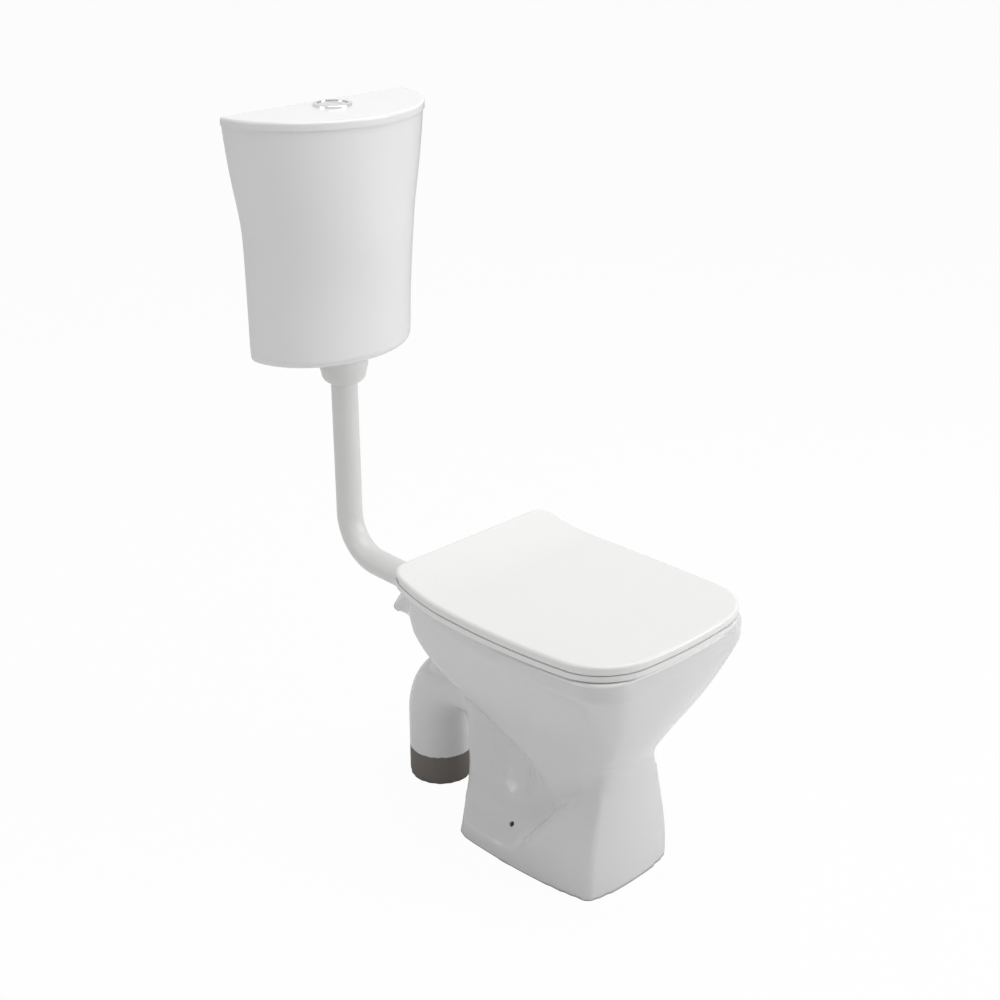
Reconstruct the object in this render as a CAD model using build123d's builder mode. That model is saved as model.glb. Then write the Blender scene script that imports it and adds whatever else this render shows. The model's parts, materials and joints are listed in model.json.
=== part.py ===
from build123d import *
import math
import os

os.makedirs("parts", exist_ok=True)

# Axes: the origin is the centre of the outlet on the floor, +Y runs back to the wall, +Z is up

# Pan, outer form
rim_height = 400.0
rim_half = 161.0
rim_reach = 494.0
rim_band = 24.0
rim_spare = 10.0
rim_dip = 6.5
rim_edge_round = 5.0
foot_half = 105.0
foot_back = 146.0
foot_reach = 414.0
neck_height = 205.0
ledge_back = 252.0
ledge_low = 14.0
ledge_rise = 190.0
ledge_run = 146.0
web_half = 66.0
web_height = 300.0
web_front = 330.0
web_round = 26.0
scoop_radius = 30.0
scoop_tip_radius = 8.0
scoop_centre = 66.0
scoop_back = 226.0
scoop_height = 114.0
scoop_length = 140.0

# Pan, rear deck
deck_half = 112.0
deck_rear = 22.0
deck_front = 150.0
deck_underside = 331.0
deck_edge_round = 9.0
deck_corner_round = 6.0
deck_climb_run = 60.0
deck_crest_radius = 100.0
deck_cut_height = 341.0
deck_cut_side = 35.0
deck_cut_rise = 28.0
deck_cut_run = 37.0

# Pan, waterways
trap_radius = 50.0
trap_wall = 11.0
knee_radius = 83.0
knee_height = 110.0
uptake_length = 150.0
mouth_half = 124.0
mouth_rear = 168.0
mouth_front = 454.0
rim_plate = 18.0
rim_skirt = 8.0
rim_skirt_depth = 38.0
rim_channel_depth = 48.0
rim_channel_width = 18.0
horn_height = 315.0
horn_radius = 32.0
horn_mouth = 25.0
horn_front = 175.0
horn_bore_radius = 26.0
inlet_chamber_half = 46.0
inlet_chamber_rear = 96.0
foot_wall = 15.0
foot_hollow_depth = 15.0
sole_half = 76.0
front_pocket_inset = 43.0
front_pocket_half = 52.0
front_pocket_length = 22.0
front_pocket_depth = 110.0
rear_pocket_inset = 44.0
rear_pocket_half = 68.0
rear_pocket_length = 54.0
rear_pocket_depth = 42.0
floor_fixing_radius = 4.5
floor_fixing_half = 84.0
floor_fixing_back = 243.0
floor_fixing_height = 50.0
floor_fixing_tilt = 30.0

# Seat hinges on the deck
hinge_half = 74.0
hinge_back = 83.0
hinge_lift = 7.5
hinge_nose_radius = 8.4
hinge_nose_gap = 0.5
hinge_barrel_radius = 6.5
hinge_pin_radius = 4.0
hinge_clearance = 0.05
hinge_gap = 0.4
post_width = 13.6
lug_width = 9.2
notch_half_width = 17.5
notch_depth = 12.0
post_base_radius = 10.0
post_notch_gap = 1.5
post_base_height = 2.0
stud_radius = 4.0
stud_length = 58.0
stud_hole_radius = 7.0
stud_pocket_radius = 23.0
deck_plate = 24.0
wing_nut_radius = 9.0
wing_nut_height = 11.0
wing_reach = 19.0
wing_thickness = 4.0
hinge_washer_radius = 15.0
hinge_washer_height = 4.0

# Seat ring and lid
seat_half = 164.0
seat_rear_half = 152.5
seat_rear = 69.0
seat_corner_half = 150.0
seat_corner_reach = 481.0
seat_reach = 497.0
seat_rear_round = 25.0
seat_front_round = 86.0
seat_gap = 2.0
seat_dip = 178.0
seat_rear_rise = 17.5
seat_front_rise = 12.5
ring_flange_height = 7.5
ring_height = 15.0
ring_step = 8.7
ring_hole_half = 106.0
ring_hole_rear = 172.0
ring_hole_front = 438.0
ring_inner_round = 4.0
lid_seam = 0.5
lid_skirt = 8.0
lid_ceiling = 16.5
lid_height = 22.0
lid_edge_round = 4.5
buffer_width = 9.0
buffer_gap = 0.5
buffer_seat = 2.0
lid_buffer_radius = 5.0

# Cistern tank, a half ellipse in plan with its back on the wall
wall_face = 254.0
tank_bottom = 655.0
tank_top = 1013.0
tank_half = 166.0
tank_depth = 151.0
tank_wall = 3.0
tank_back_round = 5.0
tank_back_trim = 0.6
tank_lid_thickness = 12.0
tank_lid_overhang = 2.0
tank_lid_edge_round = 4.0
tank_lid_plate = 4.0
tank_lid_rib = 12.0
tank_lid_rib_wall = 2.5
tank_lid_clearance = 3.0
wall_fixing_radius = 4.0
wall_fixing_half = 110.0
wall_fixing_height = 965.0

# Flush pipe and its joints, on the axis of the flush valve
pipe_back = 210.0
pipe_radius = 20.5
pipe_wall = 2.2
pipe_bend_radius = 67.0
pipe_insert = 38.0
pipe_top_insert = 22.0
cone_length = 42.0
cone_flange = 4.0
cone_flange_radius = 30.0
cup_height = 50.0
cup_radius = 38.0
cup_rim_height = 16.0
cup_wall = 3.0
seal_height = 8.0

# Flush valve
shank_radius = 27.0
shank_wall = 4.0
shank_length = 28.0
valve_flange_radius = 38.0
valve_flange_height = 6.0
gasket_height = 3.0
locknut_radius = 37.0
locknut_height = 9.0
cage_radius = 34.0
cage_wall = 3.0
cage_height = 112.0
cage_window_width = 24.0
cage_window_height = 60.0
cage_sill = 14.0
overflow_radius = 14.0
overflow_wall = 2.5
overflow_top = 925.0
overflow_flange_radius = 24.0
overflow_flange_height = 4.0
valve_seal_radius = 29.0
valve_seal_height = 4.0
valve_running_gap = 0.5
head_height = 958.0
head_plate = 5.0
head_leg_width = 12.0
head_leg_depth = 5.0

# Push button in the tank lid
bezel_radius = 29.0
bezel_height = 3.5
collar_radius = 24.0
collar_length = 24.0
button_radius = 21.5
button_gap = 0.5
button_height = 7.0
button_crown = 1.2
button_split = 6.0
push_rod_radius = 3.0
push_rod_half = 9.0
rod_hole_radius = 4.2
collar_nut_radius = 33.0
collar_nut_height = 7.0

# Fill valve
fill_inset = 71.0
fill_back = 213.0
inlet_radius = 10.4
inlet_bore = 5.0
inlet_length = 21.0
fill_shank_radius = 10.6
fill_shank_step = 0.5
fill_collar_radius = 17.0
fill_collar_height = 6.0
fill_washer_height = 2.5
fill_nut_height = 8.0
fill_nut_radius = 17.0
riser_radius = 11.0
fill_head_height = 884.0
fill_head_radius = 18.0
fill_head_length = 38.0
ear_reach = 29.0
ear_height = 16.0
ear_thickness = 4.0
arm_width = 11.0
arm_thickness = 8.0
arm_side_gap = 0.4
float_pin_radius = 2.5
float_pivot_reach = 24.0
float_pivot_drop = 17.0
float_width = 38.0
float_depth = 74.0
float_height = 40.0
float_setback = 9.0
float_round = 6.0
silencer_radius = 8.0
silencer_wall = 2.0
silencer_offset = 20.0
silencer_length = 205.0

overrun = 5.0
touch_gap = 0.3

# Outer form of the bowl from the rim down to its toe: height, rear, rear half width, middle half width,
# corner half width, corner reach, front reach, rear corner round, front corner round
hull_shares = [
    (0.940, 0.126, 0.795, 1.000, 0.930, 0.970, 1.000, 0.28, 0.38),
    (0.800, 0.146, 0.752, 0.888, 0.700, 0.930, 0.966, 0.19, 0.29),
    (0.660, 0.313, 0.714, 0.727, 0.522, 0.875, 0.907, 0.10, 0.21),
    (0.520, 0.478, 0.575, 0.533, 0.380, 0.817, 0.840, 0.07, 0.13),
    (0.380, 0.577, 0.455, 0.410, 0.310, 0.775, 0.790, 0.05, 0.09),
    (0.240, 0.660, 0.400, 0.370, 0.290, 0.765, 0.780, 0.05, 0.07),
]
# Inside of the bowl, in the same columns, from under the rim to the floor of the sump
bowl_shares = [
    (0.880, 0.306, 0.640, 0.868, 0.640, 0.910, 0.955, 0.30, 0.36),
    (0.740, 0.355, 0.560, 0.730, 0.520, 0.865, 0.908, 0.27, 0.32),
    (0.560, 0.445, 0.400, 0.535, 0.390, 0.790, 0.820, 0.20, 0.24),
    (0.380, 0.510, 0.270, 0.360, 0.270, 0.705, 0.730, 0.14, 0.16),
    (0.230, 0.535, 0.200, 0.270, 0.200, 0.660, 0.690, 0.11, 0.12),
    (0.080, 0.520, 0.170, 0.230, 0.170, 0.635, 0.665, 0.10, 0.10),
]
# Foot: height share of the neck, then rear, rear half, middle half, corner half, corner reach, front reach
# and the two rounds, as shares of the foot's own reach and half width
foot_shares = [
    (0.00, 0.353, 0.960, 1.000, 0.800, 0.971, 1.000, 0.22, 0.16),
    (0.25, 0.410, 0.950, 0.985, 0.785, 0.968, 0.994, 0.19, 0.15),
    (0.50, 0.467, 0.930, 0.930, 0.700, 0.965, 0.988, 0.16, 0.14),
    (0.75, 0.523, 0.900, 0.850, 0.600, 0.961, 0.982, 0.13, 0.13),
    (1.00, 0.580, 0.860, 0.760, 0.510, 0.957, 0.976, 0.10, 0.12),
]
# Trapway column behind the foot: height share of the column, rear share of the foot's back, half width share
# and corner round share
web_shares = [
    (0.000, 1.000, 1.590, 0.25),
    (0.125, 0.918, 1.330, 0.60),
    (0.250, 0.829, 0.980, 0.80),
    (0.375, 0.795, 0.950, 1.00),
    (0.500, 0.747, 0.940, 1.00),
    (0.625, 0.712, 0.940, 1.00),
    (0.750, 0.700, 0.940, 1.00),
    (0.875, 0.700, 0.960, 1.00),
    (1.000, 0.700, 0.980, 1.00),
]
# Cistern tank: height share, half width share, depth share, first its rounded bottom and then its body
tank_foot_shares = [
    (0.000, 0.775, 0.705),
    (0.006, 0.812, 0.748),
    (0.018, 0.839, 0.781),
    (0.040, 0.852, 0.801),
]
tank_body_shares = [
    (0.040, 0.852, 0.801),
    (0.136, 0.855, 0.816),
    (0.232, 0.855, 0.836),
    (0.328, 0.856, 0.866),
    (0.424, 0.857, 0.901),
    (0.520, 0.861, 0.934),
    (0.616, 0.879, 0.952),
    (0.712, 0.915, 0.967),
    (0.808, 0.951, 0.980),
    (0.904, 0.979, 0.992),
    (1.000, 1.000, 1.000),
]
# Mouth of the bowl and hole of the seat ring: rear half width, corner half width and corner reach,
# then the rear and front corner rounds
opening_shares = (0.74, 0.78, 0.945, 0.50, 0.55)


def plan_section(height, rear, rear_half, mid_half, corner_half, corner_reach, reach, rear_round, fore_round):
    """One horizontal section: straight rear, bulged sides and a bowed front, the same on both sides."""
    mid_reach = (rear + corner_reach) / 2
    with BuildSketch(Plane.XY.offset(height)) as section:
        with BuildLine():
            back = Line((-rear_half, -rear), (rear_half, -rear))
            right = ThreePointArc(back @ 1, (mid_half, -mid_reach), (corner_half, -corner_reach))
            front = ThreePointArc(right @ 1, (0, -reach), (-corner_half, -corner_reach))
            ThreePointArc(front @ 1, (-mid_half, -mid_reach), back @ 0)
        make_face()
        fillet(section.vertices().group_by(Axis.Y)[-1], rear_round)
        fillet(section.vertices().group_by(Axis.Y)[0], fore_round)
    return section


def shaped_section(row, height, reach, half):
    """A section from one row of a table of shares."""
    lift, rear, rear_half, mid_half, corner_half, corner_reach, front, rear_round, front_round = row
    return plan_section(
        lift * height,
        rear * reach,
        rear_half * half,
        mid_half * half,
        corner_half * half,
        corner_reach * reach,
        front * reach,
        rear_round * half,
        front_round * half,
    )


def opening_section(height, rear, half, reach, spread):
    """An oblong opening with a narrower rear and front, spread outwards by a wall or a channel."""
    rear_share, corner_share, reach_share, rear_round_share, front_round_share = opening_shares
    return plan_section(
        height,
        rear - spread,
        rear_share * half + spread,
        half + spread,
        corner_share * half + spread,
        reach_share * reach + spread,
        reach + spread,
        rear_round_share * half + spread,
        front_round_share * half + spread,
    )


def mouth_section(height, spread):
    """The bowl's mouth inside the rim."""
    return opening_section(height, mouth_rear, mouth_half, mouth_front, spread)


def seat_section(height, inset):
    """The seat's plan outline, drawn in by an inset all round."""
    return plan_section(
        height,
        seat_rear + inset,
        seat_rear_half - inset,
        seat_half - inset,
        seat_corner_half - inset,
        seat_corner_reach - inset,
        seat_reach - inset,
        seat_rear_round - inset / 2,
        seat_front_round - inset / 2,
    )


def seat_radius(run, rise):
    """Radius of the arc that climbs by the rise over the run from a level start."""
    return (run**2 + rise**2) / (2 * rise)


def seat_point(back, lift):
    """A point of the seat's side view, a lift above its curved base line."""
    run = back - seat_dip
    if run > 0:
        radius = seat_radius(seat_reach - seat_dip, seat_front_rise)
    else:
        radius = seat_radius(seat_dip - seat_rear, seat_rear_rise)
    return (-back, seat_base + radius - math.sqrt((radius - lift) ** 2 - run**2))


def seat_slab(low, high):
    """Curved slab across the seat between two lifts above its base line."""
    front = seat_reach + overrun
    rear = seat_rear - overrun
    front_mid = (front + seat_dip) / 2
    rear_mid = (rear + seat_dip) / 2
    with BuildSketch(Plane.YZ) as side_view:
        with BuildLine():
            ThreePointArc(seat_point(front, low), seat_point(front_mid, low), seat_point(seat_dip, low))
            ThreePointArc(seat_point(seat_dip, low), seat_point(rear_mid, low), seat_point(rear, low))
            Line(seat_point(rear, low), seat_point(rear, high))
            ThreePointArc(seat_point(rear, high), seat_point(rear_mid, high), seat_point(seat_dip, high))
            ThreePointArc(seat_point(seat_dip, high), seat_point(front_mid, high), seat_point(front, high))
            Line(seat_point(front, high), seat_point(front, low))
        make_face()
    extrude(side_view.sketch, amount=seat_half + overrun, both=True, mode=Mode.INTERSECT)


def tank_section(height, half, depth, inset, back):
    """Half ellipse with a straight back, drawn in by an inset."""
    with BuildSketch(Plane.XY.offset(height)) as section:
        with BuildLine():
            EllipticalCenterArc((0, back), half - inset, depth - 2 * inset, 180, arc_size=180)
            Line((half - inset, back), (inset - half, back))
        make_face()
        fillet(section.vertices(), tank_back_round)
    return section


def tank_form(inset, back):
    """The tank's outer or inner form, from a rounded bottom to a flared top."""
    rise = tank_top - tank_bottom - inset
    for shares in (tank_foot_shares, tank_body_shares):
        sections = []
        for lift, half_share, depth_share in shares:
            level = tank_bottom + inset + lift * rise
            section = tank_section(level, half_share * tank_half, depth_share * tank_depth, inset, back)
            sections.append(section.sketch.face())
        loft(sections)


# Waterway of the trap: up the leg, over the knee and down to the sump, drawn at X = 0
knee_turn = 135
uptake_angle = math.radians(knee_turn - 90)
with BuildLine(Plane.YZ) as trap_path:
    Line((0, 0), (0, knee_height))
    knee = CenterArc((-knee_radius, knee_height), knee_radius, 0, knee_turn)
    run_down = uptake_length * math.cos(uptake_angle)
    drop_down = uptake_length * math.sin(uptake_angle)
    uptake_end = (
        -knee_radius + knee_radius * math.cos(math.radians(knee_turn)) - run_down,
        knee_height + knee_radius * math.sin(math.radians(knee_turn)) - drop_down,
    )
    Line(knee @ 1, uptake_end)

# Levels that follow the seat's curve: the lowest point of the rim, and the seat's base line above it
rim_low = rim_height - rim_dip
seat_base = rim_low + seat_gap
hinge_height = seat_point(hinge_back, hinge_lift)[1]
fill_half = tank_half - fill_inset

# Block above the rim's top, which dips along the sides and climbs over a crest to the level deck
climb_radius = seat_radius(seat_dip - seat_rear, seat_rear_rise) + seat_gap
climb_angle = math.asin(deck_climb_run / climb_radius)
climb_end = (deck_climb_run - seat_dip, rim_low + climb_radius * (1 - math.cos(climb_angle)))
climb_mid = (
    climb_radius * math.sin(climb_angle / 2) - seat_dip,
    rim_low + climb_radius * (1 - math.cos(climb_angle / 2)),
)
crest_mid = (
    climb_end[0] + deck_crest_radius * (math.sin(climb_angle) - math.sin(climb_angle / 2)),
    climb_end[1] + deck_crest_radius * (math.cos(climb_angle / 2) - math.cos(climb_angle)),
)
deck_top = climb_end[1] + deck_crest_radius * (1 - math.cos(climb_angle))
crest_end = (climb_end[0] + deck_crest_radius * math.sin(climb_angle), deck_top)
with BuildPart() as rim_trim:
    trim_front = rim_reach + overrun
    trim_mid = (trim_front + seat_dip) / 2
    trim_top = rim_height + 2 * rim_spare
    with BuildSketch(Plane.YZ):
        with BuildLine():
            ThreePointArc(
                seat_point(trim_front, -seat_gap),
                seat_point(trim_mid, -seat_gap),
                (-seat_dip, rim_low),
            )
            ThreePointArc((-seat_dip, rim_low), climb_mid, climb_end)
            ThreePointArc(climb_end, crest_mid, crest_end)
            Polyline(
                crest_end,
                (overrun, deck_top),
                (overrun, trim_top),
                (-trim_front, trim_top),
                seat_point(trim_front, -seat_gap),
            )
        make_face()
    extrude(amount=rim_half + overrun, both=True)

# Bowl of the pan, from the rim down to its toe
with BuildPart() as hull:
    loft([shaped_section(row, rim_height, rim_reach, rim_half).sketch.face() for row in hull_shares])
    top = hull.faces().sort_by(Axis.Z)[-1]
    extrude(top, amount=rim_band + rim_spare)

# Foot below the neck, cut back along the ledge that falls from the neck to the floor
with BuildPart() as foot:
    foot_sections = [shaped_section(row, neck_height, foot_reach, foot_half) for row in foot_shares]
    loft([section.sketch.face() for section in foot_sections])
    ledge = Plane(origin=(0, -ledge_back, ledge_low), x_dir=(1, 0, 0), z_dir=(0, ledge_rise, ledge_run))
    with BuildSketch(ledge):
        Rectangle(4 * foot_half, 4 * foot_reach)
    extrude(amount=foot_reach, mode=Mode.SUBTRACT)

# Trapway column that flares out to the foot, with a scoop on each side under the bowl
with BuildPart() as web:
    for lift, rear, half, corner in web_shares:
        with BuildSketch(Plane.XY.offset(lift * web_height)):
            length = web_front - rear * foot_back
            with Locations((0, -web_front + length / 2)):
                RectangleRounded(2 * half * web_half, length, corner * web_round)
    loft()

with BuildPart() as scoops:
    scoop_axis = Plane(origin=(0, -scoop_back, scoop_height), x_dir=(1, 0, 0), z_dir=(0, -1, -1))
    for side in (-1, 1):
        with Locations((side * scoop_centre, -scoop_back, scoop_height)):
            Sphere(scoop_radius)
        with BuildSketch(scoop_axis):
            with Locations((side * scoop_centre, 0)):
                Circle(scoop_radius)
        with BuildSketch(scoop_axis.offset(-scoop_length)):
            with Locations((side * scoop_centre, 0)):
                Circle(scoop_tip_radius)
        loft()

# Closed outer tube of the trap, to its spigot on the floor
with BuildPart() as trap_tube:
    with BuildSketch(Plane.XY):
        Circle(trap_radius)
    sweep(path=trap_path.wires()[0])

# Deck behind the bowl that carries the seat hinges, its rear corners cut to a slope
with BuildPart() as deck:
    with BuildSketch(Plane.XY.offset(deck_underside)):
        with Locations((0, -(deck_rear + deck_front) / 2)):
            Rectangle(2 * deck_half, deck_front - deck_rear)
    extrude(amount=rim_height + rim_spare - deck_underside)
    fillet(deck.edges().filter_by(Axis.Z).group_by(Axis.Y)[-1], deck_corner_round)
    fillet(deck.faces().sort_by(Axis.Z)[0].edges().group_by(Axis.Y)[-1], deck_edge_round)
    for side in (-1, 1):
        slope = Plane(
            origin=(side * deck_half, -deck_rear, deck_cut_height),
            x_dir=(0, deck_cut_run, -deck_cut_rise),
            z_dir=(side * deck_cut_side, deck_cut_rise, deck_cut_run),
        )
        with BuildSketch(slope):
            Rectangle(4 * deck_half, 4 * deck_half)
        extrude(amount=deck_half, mode=Mode.SUBTRACT)

# Inside of the bowl with its sump
with BuildPart() as bowl:
    loft([shaped_section(row, rim_height, rim_reach, rim_half).sketch.face() for row in bowl_shares])

# Channel under the rim, open downwards behind its skirt
with BuildPart() as rim_channel:
    channel_floor = mouth_section(rim_height - rim_channel_depth, rim_channel_width)
    extrude(channel_floor.sketch, amount=rim_channel_depth - rim_plate)

with BuildPart() as rim_lip:
    skirt_foot = mouth_section(rim_height - rim_skirt_depth, rim_skirt)
    extrude(skirt_foot.sketch, amount=rim_skirt_depth - rim_plate / 2)

with BuildPart() as mouth:
    mouth_foot = mouth_section(rim_height - rim_channel_depth, 0)
    extrude(mouth_foot.sketch, amount=rim_channel_depth + 2 * rim_spare)

# Hollow of the trap
with BuildPart() as trap_bore:
    with BuildSketch(Plane.XY):
        Circle(trap_radius - trap_wall)
    sweep(path=trap_path.wires()[0])

# Hollows under the foot, open to the floor
with BuildPart() as foot_hollows:
    with BuildSketch(Plane.XY):
        with Locations((0, -(foot_back + foot_reach) / 2)):
            RectangleRounded(2 * sole_half, foot_reach - foot_back - 2 * foot_wall, foot_wall)
    extrude(amount=foot_hollow_depth)
    with BuildSketch(Plane.XY):
        with Locations((0, front_pocket_inset - foot_reach)):
            RectangleRounded(2 * front_pocket_half, front_pocket_length, foot_wall / 2)
    extrude(amount=front_pocket_depth)
    with BuildSketch(Plane.XY):
        with Locations((0, -foot_back - rear_pocket_inset)):
            RectangleRounded(2 * rear_pocket_half, rear_pocket_length, foot_wall)
    extrude(amount=rear_pocket_depth)

# Pan, one casting of glazed ceramic
with BuildPart() as pan:
    add(web.part)
    add(scoops.part, mode=Mode.SUBTRACT)
    add(foot.part)
    add(hull.part)
    add(deck.part)
    add(trap_tube.part)
    with BuildSketch(Plane.XZ.offset(-horn_mouth)):
        with Locations((0, horn_height)):
            Circle(horn_radius)
    extrude(amount=horn_front + horn_mouth)
    add(rim_trim.part, mode=Mode.SUBTRACT)
    top_faces = [face for face in pan.faces() if face.bounding_box().min.Z > rim_low - touch_gap]
    top_edges = [edge for face in top_faces for edge in face.edges()]
    fillet([edge for edge in top_edges if top_edges.count(edge) == 1], rim_edge_round)
    add(bowl.part, mode=Mode.SUBTRACT)
    add(rim_channel.part, mode=Mode.SUBTRACT)
    add(rim_lip.part)
    add(mouth.part, mode=Mode.SUBTRACT)
    add(trap_bore.part, mode=Mode.SUBTRACT)
    add(foot_hollows.part, mode=Mode.SUBTRACT)
    with BuildSketch(Plane.XZ.offset(-horn_mouth)):
        with Locations((0, horn_height)):
            Circle(horn_bore_radius)
    extrude(amount=horn_mouth + mouth_rear - rim_channel_width, mode=Mode.SUBTRACT)
    chamber_length = mouth_rear - inlet_chamber_rear
    with BuildSketch(Plane.XY.offset(horn_height)):
        with Locations((0, -(mouth_rear + inlet_chamber_rear) / 2)):
            RectangleRounded(2 * inlet_chamber_half, chamber_length, chamber_length / 4)
    extrude(amount=rim_height - rim_plate - horn_height, mode=Mode.SUBTRACT)
    with Locations((-hinge_half, -hinge_back, deck_top), (hinge_half, -hinge_back, deck_top)):
        Hole(stud_hole_radius, depth=deck_plate + overrun)
    with BuildSketch(Plane.XY.offset(deck_top - deck_plate)):
        with Locations((-hinge_half, -hinge_back), (hinge_half, -hinge_back)):
            Circle(stud_pocket_radius)
    extrude(amount=-(deck_top - deck_plate - horn_height + 2 * horn_radius), mode=Mode.SUBTRACT)
    for side in (-1, 1):
        tilt = math.radians(floor_fixing_tilt)
        screw_axis = Plane(
            origin=(side * floor_fixing_half, -floor_fixing_back, floor_fixing_height),
            z_dir=(side * math.sin(tilt), 0, math.cos(tilt)),
        )
        with BuildSketch(screw_axis.offset(floor_fixing_height)):
            Circle(floor_fixing_radius)
        extrude(amount=-2.5 * floor_fixing_height, mode=Mode.SUBTRACT)

# Seat ring with its two rear notches for the hinges
notch_outer = hinge_half + notch_half_width
seat_foot = seat_base - overrun
seat_block_height = lid_height + seat_rear_rise + 2 * overrun
with BuildPart() as ring_step_cut:
    extrude(seat_section(seat_foot, 0).sketch, amount=seat_block_height)
    extrude(seat_section(seat_foot, ring_step).sketch, amount=seat_block_height, mode=Mode.SUBTRACT)
    seat_slab(ring_flange_height, lid_height + overrun)

ring_hole = opening_section(seat_foot, ring_hole_rear, ring_hole_half, ring_hole_front, 0)
with BuildPart() as seat_ring:
    extrude(seat_section(seat_foot, 0).sketch, amount=seat_block_height)
    extrude(ring_hole.sketch, amount=seat_block_height, mode=Mode.SUBTRACT)
    seat_slab(0, ring_height)
    hole_middle = -(ring_hole_rear + ring_hole_front) / 2
    hole_length = ring_hole_front - ring_hole_rear
    hole_edges = []
    for edge in seat_ring.edges():
        middle = edge.center()
        on_top = middle.Z > seat_base + 3 * ring_height / 4
        inside = abs(middle.X) < ring_hole_half + overrun / 2
        if on_top and inside and abs(middle.Y - hole_middle) < hole_length / 2 + overrun / 2:
            hole_edges.append(edge)
    fillet(hole_edges, ring_inner_round)
    add(ring_step_cut.part, mode=Mode.SUBTRACT)
    nose_block = 2 * ring_height
    with BuildSketch(Plane.YZ):
        with Locations((nose_block / 2 - hinge_back, hinge_height)):
            Rectangle(nose_block, 2 * nose_block)
        with Locations((-hinge_back, hinge_height)):
            Circle(hinge_nose_radius, mode=Mode.SUBTRACT)
    extrude(amount=seat_half + overrun, both=True, mode=Mode.SUBTRACT)
    for side in (-1, 1):
        with BuildSketch(Plane.XY.offset(seat_foot)):
            with Locations((side * hinge_half, -(hinge_back + notch_depth + seat_rear - overrun) / 2)):
                Rectangle(2 * notch_half_width, hinge_back + notch_depth - seat_rear + overrun)
        extrude(amount=seat_block_height, mode=Mode.SUBTRACT)
    for side in (-1, 1):
        with BuildSketch(Plane.YZ.offset(side * (hinge_half + post_width / 2 + hinge_gap))):
            with Locations((-hinge_back, hinge_height)):
                Circle(hinge_barrel_radius)
        extrude(amount=side * (notch_half_width - post_width / 2 - hinge_gap + lug_width / 2))
    with BuildSketch(Plane.YZ):
        with Locations((-hinge_back, hinge_height)):
            Circle(hinge_pin_radius + hinge_clearance)
    extrude(amount=notch_outer + lug_width / 4, both=True, mode=Mode.SUBTRACT)

# Seat lid, a thin curved plate with a skirt that closes over the ring
with BuildPart() as lid_hollow:
    extrude(seat_section(seat_foot, lid_skirt).sketch, amount=seat_block_height)
    seat_slab(0, lid_ceiling)

with BuildPart() as lid_notches:
    for side in (-1, 1):
        with BuildSketch(Plane.XY.offset(seat_foot)):
            with Locations((side * hinge_half, -(hinge_back + notch_depth + seat_rear - overrun) / 2)):
                Rectangle(post_width + 2 * post_notch_gap, hinge_back + notch_depth - seat_rear + overrun)
        extrude(amount=seat_block_height)
    seat_slab(0, lid_ceiling)

with BuildPart() as seat_lid:
    extrude(seat_section(seat_foot, 0).sketch, amount=seat_block_height)
    seat_slab(ring_flange_height + lid_seam, lid_height)
    lid_top = seat_lid.faces().filter_by(GeomType.CYLINDER).sort_by(SortBy.AREA)[-2:]
    fillet(
        [edge for edge in lid_top.edges() if len([f for f in lid_top if edge in f.edges()]) == 1],
        lid_edge_round,
    )
    add(lid_hollow.part, mode=Mode.SUBTRACT)
    add(lid_notches.part, mode=Mode.SUBTRACT)
    with BuildSketch(Plane.YZ):
        with Locations((-hinge_back, hinge_height)):
            Circle(hinge_nose_radius + hinge_nose_gap)
    extrude(amount=seat_half + overrun, both=True, mode=Mode.SUBTRACT)
    for side in (-1, 1):
        inner_face = side * (hinge_half - post_width / 2 - hinge_gap)
        with BuildSketch(Plane.YZ.offset(inner_face)):
            with Locations((-hinge_back, hinge_height)):
                Circle(hinge_barrel_radius)
            with Locations((-hinge_back, hinge_height + hinge_barrel_radius)):
                Rectangle(hinge_barrel_radius, 2 * hinge_barrel_radius)
        extrude(amount=-side * lug_width)
    with BuildSketch(Plane.YZ):
        with Locations((-hinge_back, hinge_height)):
            Circle(hinge_pin_radius + hinge_clearance)
    extrude(amount=hinge_half, both=True, mode=Mode.SUBTRACT)

# Hinge posts on the deck, with the eye that holds each pin
with BuildPart() as hinge_posts:
    with BuildSketch(Plane.XY.offset(deck_top)):
        with Locations((-hinge_half, -hinge_back), (hinge_half, -hinge_back)):
            Circle(post_base_radius)
    extrude(amount=post_base_height)
    chamfer(hinge_posts.faces().sort_by(Axis.Z)[-1].edges(), post_base_height / 3)
    chamfer(hinge_posts.faces().sort_by(Axis.Z)[-2].edges(), post_base_height / 3)
    for side in (-1, 1):
        with BuildSketch(Plane.YZ.offset(side * hinge_half - post_width / 2)):
            with Locations((-hinge_back, hinge_height)):
                Circle(hinge_barrel_radius)
            with Locations((-hinge_back, (hinge_height + deck_top + post_base_height / 2) / 2)):
                Rectangle(2 * hinge_barrel_radius, hinge_height - deck_top - post_base_height / 2)
        extrude(amount=post_width)
        with BuildSketch(Plane.YZ.offset(side * hinge_half - post_width)):
            with Locations((-hinge_back, hinge_height)):
                Circle(hinge_pin_radius)
        extrude(amount=2 * post_width, mode=Mode.SUBTRACT)

with BuildPart() as hinge_pins:
    for side in (-1, 1):
        with BuildSketch(Plane.YZ.offset(side * (hinge_half - post_width / 2 - hinge_gap - lug_width))):
            with Locations((-hinge_back, hinge_height)):
                Circle(hinge_pin_radius)
        extrude(amount=side * (post_width + 2 * lug_width + 2 * hinge_gap))

with BuildPart() as hinge_studs:
    with BuildSketch(Plane.XY.offset(deck_top)):
        with Locations((-hinge_half, -hinge_back), (hinge_half, -hinge_back)):
            Circle(stud_radius)
    extrude(amount=-stud_length)

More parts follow.
